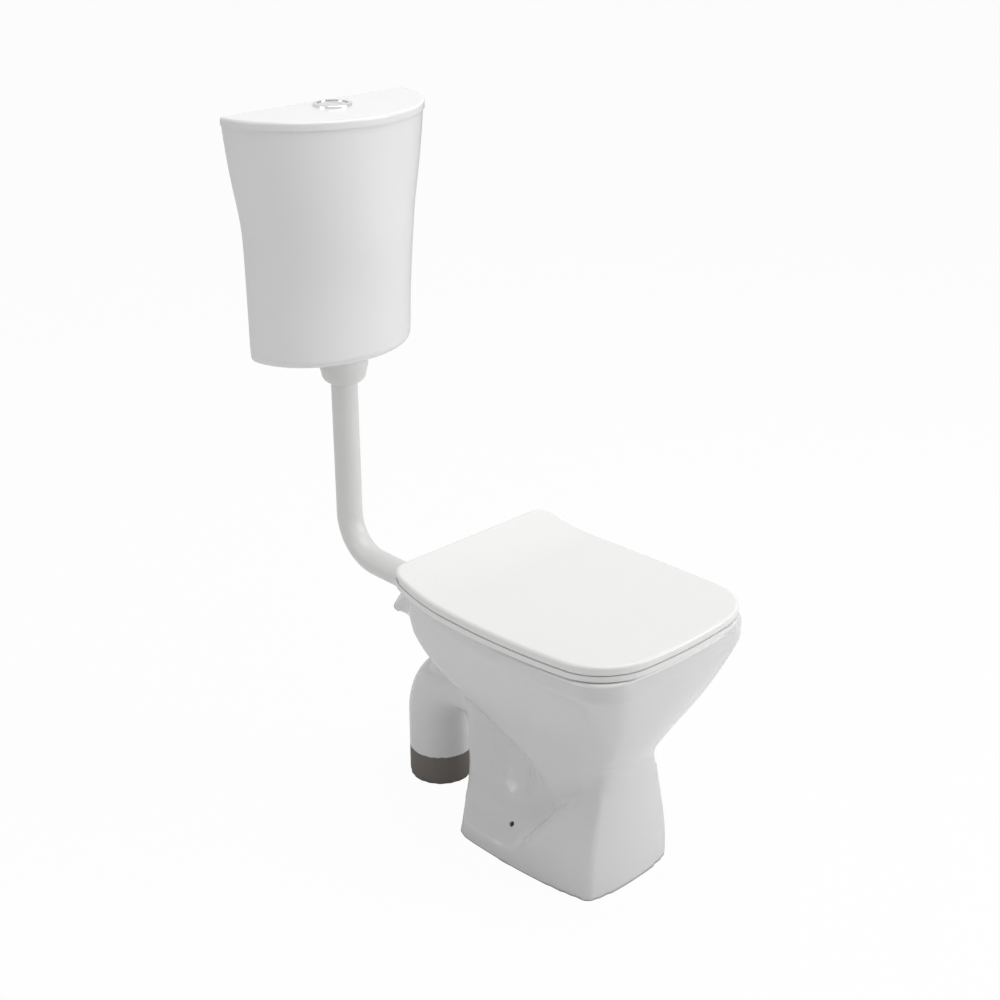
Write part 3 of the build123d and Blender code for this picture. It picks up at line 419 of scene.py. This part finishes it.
class ToiletStage(bpy.types.PropertyGroup):
    """Camera, floor and studio light."""

    camera_place: FloatVectorProperty(
        name="Camera",
        description="Place of the camera",
        default=(-1.4944, -1.6854, 1.4719),
        subtype="XYZ",
    )
    camera_turn: FloatProperty(
        name="Turn",
        description="Camera turn from the wall's normal",
        default=math.radians(43.961),
        subtype="ANGLE",
    )
    camera_tilt: FloatProperty(
        name="Tilt",
        description="Camera tilt below the horizon",
        default=math.radians(24.011),
        subtype="ANGLE",
    )
    camera_roll: FloatProperty(
        name="Roll",
        description="Camera roll",
        default=math.radians(-0.105),
        subtype="ANGLE",
    )
    camera_lens: FloatProperty(
        name="Lens",
        description="Focal length, in millimetres",
        default=59.436,
    )
    camera_frame: FloatProperty(
        name="Frame",
        description="Width of the camera's frame, in millimetres",
        default=36.0,
    )
    floor_size: FloatProperty(
        name="Floor",
        description="Side of the square studio floor",
        default=30.0,
        unit="LENGTH",
    )
    floor_glow: FloatProperty(
        name="Floor glow",
        description="Share of plain white in the floor that the camera sees",
        default=0.96,
    )
    sky_strength: FloatProperty(
        name="Room light",
        description="Strength of the even light from all round",
        default=0.30,
    )
    top_place: FloatVectorProperty(
        name="Top light's place",
        description="Place of the soft box over the object",
        default=(0.3, -0.5, 3.2),
        subtype="XYZ",
    )
    top_width: FloatProperty(
        name="Top light's width",
        description="Side of the soft box over the object",
        default=2.6,
        unit="LENGTH",
    )
    top_power: FloatProperty(
        name="Top light",
        description="Power of the soft box over the object",
        default=48.0,
        unit="POWER",
    )
    front_place: FloatVectorProperty(
        name="Front light's place",
        description="Place of the soft box at the front right",
        default=(1.9, -2.6, 1.5),
        subtype="XYZ",
    )
    front_width: FloatProperty(
        name="Front light's width",
        description="Side of the soft box at the front right",
        default=1.8,
        unit="LENGTH",
    )
    front_power: FloatProperty(
        name="Front light",
        description="Power of the soft box at the front right",
        default=38.0,
        unit="POWER",
    )
    left_place: FloatVectorProperty(
        name="Left light's place",
        description="Place of the soft box at the left",
        default=(-2.6, 0.7, 1.8),
        subtype="XYZ",
    )
    left_width: FloatProperty(
        name="Left light's width",
        description="Side of the soft box at the left",
        default=1.6,
        unit="LENGTH",
    )
    left_power: FloatProperty(
        name="Left light",
        description="Power of the soft box at the left",
        default=12.0,
        unit="POWER",
    )


class Link:
    """A node's output on which Python's operators add Math nodes."""

    def __init__(self, finish, socket):
        self.finish = finish
        self.socket = socket

    def maths(self, operation, first, second):
        """Adds a Math node that works on two values or links."""
        return self.finish.node("ShaderNodeMath", {"operation": operation}, {0: first, 1: second})

    def __add__(self, other):
        return self.maths("ADD", self, other)

    def __radd__(self, other):
        return self.maths("ADD", other, self)

    def __sub__(self, other):
        return self.maths("SUBTRACT", self, other)

    def __rsub__(self, other):
        return self.maths("SUBTRACT", other, self)

    def __mul__(self, other):
        return self.maths("MULTIPLY", self, other)

    def __rmul__(self, other):
        return self.maths("MULTIPLY", other, self)


class Finish:
    """A material built from a Principled shader and the patterns that vary it."""

    def __init__(self, name):
        self.material = bpy.data.materials.new(name)
        self.material.use_nodes = True
        self.tree = self.material.node_tree
        self.shader = self.tree.nodes["Principled BSDF"]
        self.place = self.node("ShaderNodeTexCoord", {}, {}, "Object")

    def node(self, kind, settings, inputs, output=0):
        """Adds a node, makes its settings, then fills its sockets with values or links."""
        made = self.tree.nodes.new(kind)
        for key, value in settings.items():
            setattr(made, key, value)
        for key, value in inputs.items():
            self.fill(made.inputs[key], value)
        return Link(self, made.outputs[output])

    def fill(self, socket, value):
        """Links a socket to an output, or sets its own value."""
        if isinstance(value, Link):
            self.tree.links.new(value.socket, socket)
        elif socket.type == "RGBA" and len(value) == 3:
            socket.default_value = (*value, 1.0)
        else:
            socket.default_value = value

    def noise(self, scale, detail=2.0, roughness=0.5):
        """Soft random pattern that sits still on the piece."""
        sockets = {"Vector": self.place, "Scale": scale, "Detail": detail, "Roughness": roughness}
        return self.node("ShaderNodeTexNoise", {}, sockets, "Fac")

    def axis(self, name):
        """One coordinate of a point on the piece."""
        return self.node("ShaderNodeSeparateXYZ", {}, {0: self.place}, name)

    def size(self, value):
        """A value without its sign."""
        return self.node("ShaderNodeMath", {"operation": "ABSOLUTE"}, {0: value})

    def larger(self, first, second):
        """The larger of two values."""
        return self.node("ShaderNodeMath", {"operation": "MAXIMUM"}, {0: first, 1: second})

    def distance(self, across, depth, height, target):
        """How far a point with these coordinates lies from a target."""
        spot = self.node("ShaderNodeCombineXYZ", {}, {0: across, 1: depth, 2: height})
        return self.node("ShaderNodeVectorMath", {"operation": "DISTANCE"}, {0: spot, 1: target}, "Value")

    def ramp(self, value, low, high):
        """Smooth step from 0 at the low value to 1 at the high value."""
        settings = {"interpolation_type": "SMOOTHSTEP"}
        sockets = {"Value": value, "From Min": low, "From Max": high, "To Min": 0.0, "To Max": 1.0}
        return self.node("ShaderNodeMapRange", settings, sockets, "Result")

    def blend(self, mask, first, second):
        """Mixes two colours by a mask."""
        return self.node("ShaderNodeMix", {"data_type": "RGBA"}, {0: mask, 6: first, 7: second}, 2)

    def bump(self, height, strength, distance):
        """Surface relief from a height pattern."""
        sockets = {"Height": height, "Strength": strength, "Distance": distance}
        return self.node("ShaderNodeBump", {}, sockets, "Normal")

    def surface(self, **sockets):
        """Fills the shader's sockets, named with underscores for spaces."""
        for key, value in sockets.items():
            self.fill(self.shader.inputs[key.replace("_", " ").title()], value)
        return self.material


def tinted(colour, factor):
    """A colour made a little darker or lighter."""
    return tuple(min(channel * factor, 1.0) for channel in colour)


def glaze_finish(colours):
    """Thick white glaze, bare clay on the outlet's end, under the foot and in the floor screws' bores."""
    finish = Finish("white_glaze")
    height = finish.axis("Z")
    depth = finish.axis("Y")

    wander = finish.noise(scale=34.0, detail=3.0, roughness=0.6) * colours.band_wander
    fray = finish.noise(scale=160.0) * colours.band_fray
    edge = height + (wander + fray) - colours.band_height - (colours.band_wander + colours.band_fray) / 2
    band = finish.ramp(edge, low=0.0004, high=-0.0004)
    leg = finish.ramp(depth, low=colours.leg_front - 0.002, high=colours.leg_front + 0.002)
    sole = finish.ramp(height, low=0.0016, high=0.0006)
    reach = finish.distance(finish.size(finish.axis("X")), depth, height, colours.bore_heart)
    bore = finish.ramp(reach, low=colours.bore_reach, high=colours.bore_reach - 0.0008)
    bare = finish.larger(finish.larger(band * leg, sole), bore)

    cloud = finish.noise(scale=5.0)
    glaze = finish.blend(cloud, tinted(colours.glaze_colour, 0.985), colours.glaze_colour)
    speck = finish.noise(scale=420.0, detail=3.0, roughness=0.7)
    clay = finish.blend(speck, tinted(colours.bare_colour, 0.72), tinted(colours.bare_colour, 1.25))
    ripple = finish.noise(scale=26.0, roughness=0.4) * (1.0 - bare) + speck * bare * 0.12
    return finish.surface(
        base_color=finish.blend(bare, glaze, clay),
        roughness=0.10 + cloud * 0.04 + bare * 0.62,
        coat_weight=0.35 - bare * 0.35,
        normal=finish.bump(ripple, strength=0.06, distance=0.004),
    )


def moulded_finish(name, colour, gloss, grain):
    """Injection-moulded plastic with a faint texture and cloudy gloss."""
    finish = Finish(name)
    cloud = finish.noise(scale=9.0)
    fine = finish.noise(scale=grain, roughness=0.6)
    return finish.surface(
        base_color=finish.blend(cloud, tinted(colour, 0.985), colour),
        roughness=gloss + cloud * 0.05 + fine * 0.03,
        normal=finish.bump(fine, strength=0.05, distance=0.0006),
    )


def metal_finish(name, colour, gloss, grain):
    """Plated or ground metal with fine streaks."""
    finish = Finish(name)
    streak = finish.noise(scale=grain, detail=4.0, roughness=0.6)
    return finish.surface(
        base_color=finish.blend(streak, tinted(colour, 0.92), colour),
        metallic=1.0,
        roughness=gloss + streak * 0.06,
        normal=finish.bump(streak, strength=0.03, distance=0.0004),
    )


def rubber_finish(name, colour):
    """Moulded rubber with a fine matt grain."""
    finish = Finish(name)
    fine = finish.noise(scale=300.0, detail=3.0, roughness=0.6)
    return finish.surface(
        base_color=finish.blend(fine, tinted(colour, 0.8), tinted(colour, 1.6)),
        roughness=0.62 + fine * 0.15,
        normal=finish.bump(fine, strength=0.12, distance=0.0006),
    )


# Materials by the name of their slot in the CAD record, with one more for the buffers
finishes = {}

# The foot's outline on the floor, as (y, distance from the middle), from the front corner to the back
foot_edge = (
    (-0.345, 0.0965),
    (-0.32, 0.0985),
    (-0.29, 0.1015),
    (-0.25, 0.1045),
    (-0.20, 0.1055),
    (-0.165, 0.103),
    (-0.139, 0.090),
    (-0.12, 0.076),
)

# The bowl's lower edge seen from the side, as (y, z), from the outlet's leg down to the column
bowl_edge = (
    (-0.068, 0.256),
    (-0.094, 0.216),
    (-0.137, 0.196),
    (-0.191, 0.177),
    (-0.239, 0.165),
    (-0.262, 0.148),
    (-0.272, 0.120),
)

# Where the hollow under the bowl may reach, as (lowest, highest) of y and of z
hollow_depths = (-0.31, -0.07)
hollow_heights = (0.06, 0.30)


def deselect():
    """Leaves nothing selected."""
    bpy.ops.object.select_all(action="DESELECT")


def pick(piece):
    """Makes one object the selected and active one."""
    deselect()
    piece.select_set(True)
    bpy.context.view_layer.objects.active = piece


def body_named(node):
    """The body that a CAD node belongs to."""
    for body, members in frame["record"]["behaviour"]["bodies"].items():
        if node in members:
            return body
    raise ValueError(f"no body holds {node}")


def dressed(piece, finish):
    """Gives a piece one material."""
    piece.data.materials.clear()
    piece.data.materials.append(finishes[finish])


def settle(piece, node, finish):
    """Gives a finished piece the body of its CAD node, and the material of the given slot."""
    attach(piece, body_named(node))
    dressed(piece, finish)


def copy_of(node, name):
    """A merged copy of a CAD node that stands for it."""
    pick(frame["nodes"][node])
    bpy.ops.object.duplicate()
    piece = bpy.context.view_layer.objects.active
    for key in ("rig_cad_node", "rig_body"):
        del piece[key]
    piece.name = name
    bpy.ops.object.mode_set(mode="EDIT")
    bpy.ops.mesh.select_all(action="SELECT")
    bpy.ops.mesh.remove_doubles(threshold=0.00001)
    bpy.ops.object.mode_set(mode="OBJECT")
    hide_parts(node)
    return piece


def twin_of(piece, name, node):
    """A second copy of a piece that stands for the same CAD node."""
    pick(piece)
    bpy.ops.object.duplicate()
    twin = bpy.context.view_layer.objects.active
    twin.name = name
    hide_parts(node)
    return twin


def modified(piece, kind, **settings):
    """Adds a modifier with its settings and applies it."""
    pick(piece)
    bpy.ops.object.modifier_add(type=kind)
    modifier = piece.modifiers[-1]
    for key, value in settings.items():
        setattr(modifier, key, value)
    bpy.ops.object.modifier_apply(modifier=modifier.name)


def shade(piece, angle):
    """Smooth shading with crisp creases, led by the larger faces."""
    pick(piece)
    bpy.ops.object.shade_smooth_by_angle(angle=angle)
    modified(piece, "WEIGHTED_NORMAL", keep_sharp=True, weight=80)


def weigh(piece, name, weights):
    """A vertex group that holds one weight for each point."""
    group = piece.vertex_groups.new(name=name)
    for index, weight in enumerate(weights):
        group.add([index], weight, "REPLACE")
    return group.name


def step_between(value, low, high):
    """0 at the low value, 1 at the high value, and even between them."""
    return min(max((value - low) / (high - low), 0.0), 1.0)


def crease_weights(piece, form):
    """Weights that are high in inward creases and fade over the rings of points around them."""
    points = piece.data.vertices
    near = [[] for point in points]
    for edge in piece.data.edges:
        first, second = edge.vertices
        near[first].append(second)
        near[second].append(first)
    weights = []
    for point in points:
        middle = Vector()
        for index in near[point.index]:
            middle += points[index].co
        bend = (middle / len(near[point.index]) - point.co).dot(point.normal)
        weights.append(step_between(bend, form.crease_low, form.crease_high))
    for ring in range(form.crease_rings):
        spread = [form.crease_fade * max(weights[index] for index in around) for around in near]
        weights = [max(own, passed) for own, passed in zip(weights, spread)]
    return weights


def softness(place, rim_line, cone, form):
    """1 where creases may soften, 0 at the floor, the rim piece and the inlet's cone."""
    low = step_between(place.z, form.foot_crisp, form.foot_soft)
    high = step_between(place.z, rim_line, rim_line - form.rim_soft)
    away = max(max(cone[0][axis] - place[axis], place[axis] - cone[1][axis]) for axis in range(3))
    return low * high * step_between(away, form.cone_crisp, form.cone_soft)


def gap_to(line, across, height):
    """Distance of a point from an open line, positive on its left side, and its share along the line."""
    best = None
    for index in range(len(line) - 1):
        start, end = Vector(line[index]), Vector(line[index + 1])
        run = end - start
        share = step_between((Vector((across, height)) - start).dot(run), 0.0, run.dot(run))
        away = Vector((across, height)) - (start + run * share)
        side = run.x * away.y - run.y * away.x
        if best is None or away.length < abs(best[0]):
            best = (math.copysign(away.length, side), (index + share) / (len(line) - 1))
    return best


def hollowed(piece, form):
    """Presses a hollow into both sides of the pan, along the lower edge of the bowl."""
    for point in piece.data.vertices:
        place = point.co
        if not hollow_depths[0] < place.y < hollow_depths[1]:
            continue
        if not hollow_heights[0] < place.z < hollow_heights[1]:
            continue
        away, share = gap_to(bowl_edge, place.y, place.z)
        if away <= 0.0:
            continue
        steep = step_between(away, 0.0, form.hollow_edge)
        steep = steep * steep * (3.0 - 2.0 * steep)
        fade = math.exp(-((away / form.hollow_width) ** 2))
        along = math.sin(math.pi * share**form.hollow_lean)
        inside = step_between(abs(place.x), form.hollow_outer, form.hollow_inner)
        place.x *= 1.0 - form.hollow_share * steep * fade * along * inside


def foot_trimmed(piece, form):
    """Draws the foot's flared side in, so that its outline runs smoothly into the front corner."""
    for point in piece.data.vertices:
        place = point.co
        if abs(place.x) < form.trim_side or place.z > form.trim_height:
            continue
        if not foot_edge[0][0] < place.y < foot_edge[-1][0]:
            continue
        past = gap_to(foot_edge, place.y, abs(place.x))[0]
        if past > 0.0:
            place.x -= math.copysign(past * form.trim_share, place.x)


def bored(piece, radius, place, direction):
    """Bores a round hole into a piece, straight along a direction."""
    turn = Vector(direction).to_track_quat("Z", "Y").to_euler()
    deselect()
    bpy.ops.mesh.primitive_cylinder_add(vertices=32, radius=radius, depth=0.05, location=place, rotation=turn)
    cutter = bpy.context.view_layer.objects.active
    modified(piece, "BOOLEAN", operation="DIFFERENCE", object=cutter, solver="EXACT")
    pick(cutter)
    bpy.ops.object.delete()


def turned(name, centre, profile):
    """Turns a closed profile of radii and heights round an upright axis."""
    deselect()
    start = Vector((*centre, profile[0][1]))
    bpy.ops.mesh.primitive_circle_add(vertices=96, radius=profile[0][0], location=start)
    piece = bpy.context.view_layer.objects.active
    piece.name = name
    bpy.ops.object.mode_set(mode="EDIT")
    bpy.ops.mesh.select_all(action="SELECT")
    for (radius, height), (wider, higher) in zip(profile, profile[1:] + profile[:1]):
        bpy.ops.mesh.extrude_region_move(TRANSFORM_OT_translate={"value": (0.0, 0.0, higher - height)})
        grow = wider / radius
        bpy.ops.transform.resize(value=(grow, grow, 1.0), center_override=(*centre, higher))
    bpy.ops.mesh.select_all(action="SELECT")
    bpy.ops.mesh.remove_doubles(threshold=0.00002)
    bpy.ops.mesh.normals_make_consistent(inside=False)
    bpy.ops.object.mode_set(mode="OBJECT")
    bpy.ops.object.transform_apply(location=True, rotation=True, scale=True)
    return piece


def sliced(piece, height, above):
    """Cuts a piece level, keeps the side above or below, and closes the cut."""
    pick(piece)
    bpy.ops.object.mode_set(mode="EDIT")
    bpy.ops.mesh.select_all(action="SELECT")
    level = {"plane_co": (0.0, 0.0, height), "plane_no": (0.0, 0.0, 1.0)}
    bpy.ops.mesh.bisect(**level, use_fill=True, clear_inner=above, clear_outer=not above)
    bpy.ops.object.mode_set(mode="OBJECT")


def select_points(piece, chosen):
    """Opens a piece for editing with only the chosen points selected."""
    pick(piece)
    bpy.ops.object.mode_set(mode="EDIT")
    bpy.ops.mesh.select_mode(type="VERT")
    bpy.ops.mesh.select_all(action="DESELECT")
    bpy.ops.object.mode_set(mode="OBJECT")
    for point in piece.data.vertices:
        point.select = chosen(point.co)
    bpy.ops.object.mode_set(mode="EDIT")


class TOILET_OT_finishes(bpy.types.Operator):
    """Makes the materials and gives one to each CAD node"""

    bl_idname = "toilet.finishes"
    bl_label = "Finishes"

    def execute(self, context):
        colours = context.scene.toilet_finish
        finishes["ceramic"] = glaze_finish(colours)
        for slot, name, colour, gloss, grain in (
            ("seat_plastic", "seat_plastic", colours.seat_colour, 0.16, 900.0),
            ("tank_plastic", "cistern_plastic", colours.tank_colour, 0.12, 700.0),
            ("pipe_plastic", "pipe_plastic", colours.pipe_colour, 0.26, 500.0),
            ("fitting_plastic", "fitting_plastic", colours.fitting_colour, 0.40, 600.0),
        ):
            finishes[slot] = moulded_finish(name, colour, gloss, grain)
        finishes["hinge_metal"] = metal_finish("hinge_steel", colours.steel_colour, gloss=0.24, grain=400.0)
        finishes["chrome"] = metal_finish("button_chrome", colours.chrome_colour, gloss=0.10, grain=300.0)
        finishes["rubber"] = rubber_finish("seal_rubber", colours.rubber_colour)
        finishes["buffer"] = rubber_finish("buffer_rubber", colours.buffer_colour)
        for row in frame["record"]["subparts"]:
            dressed(frame["nodes"][row["node"]], row["material_slot"])
        for name in ("ring_buffers", "lid_buffers"):
            dressed(frame["nodes"][name], "buffer")
        return {"FINISHED"}


class TOILET_OT_pan(bpy.types.Operator):
    """Softens the ceramic pan's creases, as slip casting does, and keeps its rim crisp"""

    bl_idname = "toilet.pan"
    bl_label = "Pan"

    def execute(self, context):
        form = context.scene.toilet_form
        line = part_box("pan")[1].z - form.rim_drop
        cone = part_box("inlet_cone")

        body = copy_of("pan", "pan_body")
        rim = twin_of(body, "pan_rim", "pan")
        modified(body, "REMESH", mode="VOXEL", voxel_size=form.pan_grain, adaptivity=0.0)
        hollowed(body, form)
        foot_trimmed(body, form)

        weights = crease_weights(body, form)
        for point in body.data.vertices:
            weights[point.index] *= softness(point.co, line, cone, form)
        modified(body, "SMOOTH", factor=0.5, iterations=form.pan_passes)
        group = weigh(body, "creases", weights)
        modified(body, "SMOOTH", factor=0.5, iterations=form.crease_passes, vertex_group=group)
        body.vertex_groups.clear()

        select_points(body, lambda place: place.z < form.pan_grain * form.sole_share)
        bpy.ops.transform.resize(value=(1.0, 1.0, 0.0), center_override=(0.0, 0.0, 0.0))
        bpy.ops.object.mode_set(mode="OBJECT")
        for side in (-1.0, 1.0):
            place = (side * form.fixing_place.x, form.fixing_place.y, form.fixing_place.z)
            lean = (side * form.fixing_lean.x, form.fixing_lean.y, form.fixing_lean.z)
            bored(body, form.fixing_bore, place, lean)

        sliced(body, line + form.rim_lap, False)
        select_points(body, lambda place: place.z > line)
        bpy.ops.transform.shrink_fatten(value=-form.lap_inset)
        bpy.ops.object.mode_set(mode="OBJECT")
        pick(body)
        bpy.ops.object.shade_smooth()
        settle(body, "pan", "ceramic")

        sliced(rim, line, True)
        shade(rim, form.crease_angle)
        settle(rim, "pan", "ceramic")
        return {"FINISHED"}


class TOILET_OT_cup(bpy.types.Operator):
    """Turns the rounded cup that joins the flush pipe to the cistern"""

    bl_idname = "toilet.cup"
    bl_label = "Outlet cup"

    def execute(self, context):
        form = context.scene.toilet_form
        low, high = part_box("outlet_cup")
        centre = ((low.x + high.x) / 2, (low.y + high.y) / 2)
        wide = (high.x - low.x) / 2
        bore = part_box("flush_pipe")[1].x + form.cup_fit
        foot = low.z + form.cup_lift
        shelf = low.z + form.cup_shelf_height
        lip = bore + form.cup_lip
        swell = form.cup_swell - lip

        profile = [(bore, foot)]
        for step in range(form.cup_steps + 1):
            angle = math.radians(90.0 * step / form.cup_steps)
            rise = form.cup_round * (1.0 - math.cos(angle))
            profile.append((lip + swell * math.sin(angle), foot + rise))
        profile += [(wide, high.z - form.cup_collar), (wide, high.z), (wide - form.cup_wall, high.z)]
        profile += [(bore + form.cup_shelf, shelf), (bore, shelf)]

        piece = turned("outlet_cup_round", centre, profile)
        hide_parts("outlet_cup")
        shade(piece, form.crease_angle)
        settle(piece, "outlet_cup", "pipe_plastic")
        return {"FINISHED"}


def studio_floor(stage):
    """A pale floor that keeps the object's shadow and looks white around it."""
    finish = Finish("studio_floor")
    path = finish.node("ShaderNodeLightPath", {}, {}, "Is Camera Ray")
    grain = finish.noise(scale=3.0)
    finish.surface(base_color=finish.blend(grain, (0.90, 0.90, 0.90), (0.92, 0.92, 0.92)), roughness=0.9)
    paint = Link(finish, finish.shader.outputs[0])
    glow = finish.node("ShaderNodeEmission", {}, {"Color": (1.0, 1.0, 1.0), "Strength": 1.0})
    mixed = finish.node("ShaderNodeMixShader", {}, {0: path * stage.floor_glow, 1: paint, 2: glow})
    finish.fill(finish.tree.nodes["Material Output"].inputs["Surface"], mixed)
    return finish.material


def soft_box(name, place, target, width, power):
    """A square studio light aimed at a point."""
    aim = (Vector(target) - Vector(place)).to_track_quat("-Z", "Y").to_euler()
    bpy.ops.object.light_add(type="AREA", location=place, rotation=aim)
    lamp = bpy.context.view_layer.objects.active
    lamp.name = name
    lamp.data.size = width
    lamp.data.energy = power


def studio_room(stage):
    """Even light from all round, and white wherever the camera or a gloss looks past the floor."""
    world = bpy.data.worlds.new("studio")
    world.use_nodes = True
    nodes = world.node_tree.nodes
    links = world.node_tree.links
    path = nodes.new("ShaderNodeLightPath")
    seen = nodes.new("ShaderNodeMath")
    seen.operation = "MAXIMUM"
    links.new(path.outputs["Is Camera Ray"], seen.inputs[0])
    links.new(path.outputs["Is Glossy Ray"], seen.inputs[1])
    strength = nodes.new("ShaderNodeMapRange")
    strength.inputs["To Min"].default_value = stage.sky_strength
    strength.inputs["To Max"].default_value = 1.0
    links.new(seen.outputs[0], strength.inputs["Value"])
    background = nodes["Background"]
    background.inputs["Color"].default_value = (1.0, 1.0, 1.0, 1.0)
    links.new(strength.outputs["Result"], background.inputs["Strength"])
    return world


class TOILET_OT_stage(bpy.types.Operator):
    """Adds the floor, the camera and the studio lights"""

    bl_idname = "toilet.stage"
    bl_label = "Stage"

    def execute(self, context):
        stage = context.scene.toilet_stage
        deselect()
        bpy.ops.mesh.primitive_plane_add(size=stage.floor_size, location=(0.0, 0.0, 0.0))
        floor = context.view_layer.objects.active
        floor.name = "studio_floor"
        floor.data.materials.append(studio_floor(stage))

        middle = (cad_box[0] + cad_box[1]) / 2
        soft_box("top_light", stage.top_place, middle, stage.top_width, stage.top_power)
        soft_box("front_light", stage.front_place, middle, stage.front_width, stage.front_power)
        soft_box("left_light", stage.left_place, middle, stage.left_width, stage.left_power)
        context.scene.world = studio_room(stage)

        bpy.ops.object.camera_add(location=stage.camera_place)
        camera = context.view_layer.objects.active
        turn = Matrix.Rotation(-stage.camera_turn, 4, "Z")
        tilt = Matrix.Rotation(math.pi / 2 - stage.camera_tilt, 4, "X")
        roll = Matrix.Rotation(stage.camera_roll, 4, "Z")
        camera.rotation_euler = (turn @ tilt @ roll).to_euler()
        camera.data.sensor_width = stage.camera_frame
        camera.data.lens = stage.camera_lens
        context.scene.camera = camera
        context.scene.view_settings.view_transform = "Standard"
        return {"FINISHED"}


class TOILET_PT_panel(bpy.types.Panel):
    """Buttons and settings for each group of pieces"""

    bl_idname = "TOILET_PT_panel"
    bl_label = "Toilet"
    bl_space_type = "VIEW_3D"
    bl_region_type = "UI"
    bl_category = "Toilet"

    def draw(self, context):
        for step in steps:
            self.layout.operator(step.bl_idname)
        for group in groups:
            box = self.layout.box()
            settings = getattr(context.scene, group)
            for key in settings.__annotations__:
                box.prop(settings, key)


groups = {"toilet_form": ToiletForm, "toilet_finish": ToiletFinish, "toilet_stage": ToiletStage}
steps = (TOILET_OT_finishes, TOILET_OT_pan, TOILET_OT_cup, TOILET_OT_stage)


def register():
    """Adds the settings, the operators and the panel to Blender."""
    for key, group in groups.items():
        bpy.utils.register_class(group)
        setattr(bpy.types.Scene, key, PointerProperty(type=group))
    for step in steps:
        bpy.utils.register_class(step)
    bpy.utils.register_class(TOILET_PT_panel)


def unregister():
    """Takes them out again."""
    bpy.utils.unregister_class(TOILET_PT_panel)
    for step in reversed(steps):
        bpy.utils.unregister_class(step)
    for key, group in groups.items():
        delattr(bpy.types.Scene, key)
        bpy.utils.unregister_class(group)


def main():
    """Builds every piece in order."""
    register()
    bpy.ops.toilet.finishes()
    bpy.ops.toilet.pan()
    bpy.ops.toilet.cup()
    bpy.ops.toilet.stage()


if __name__ == "__main__":
    main()
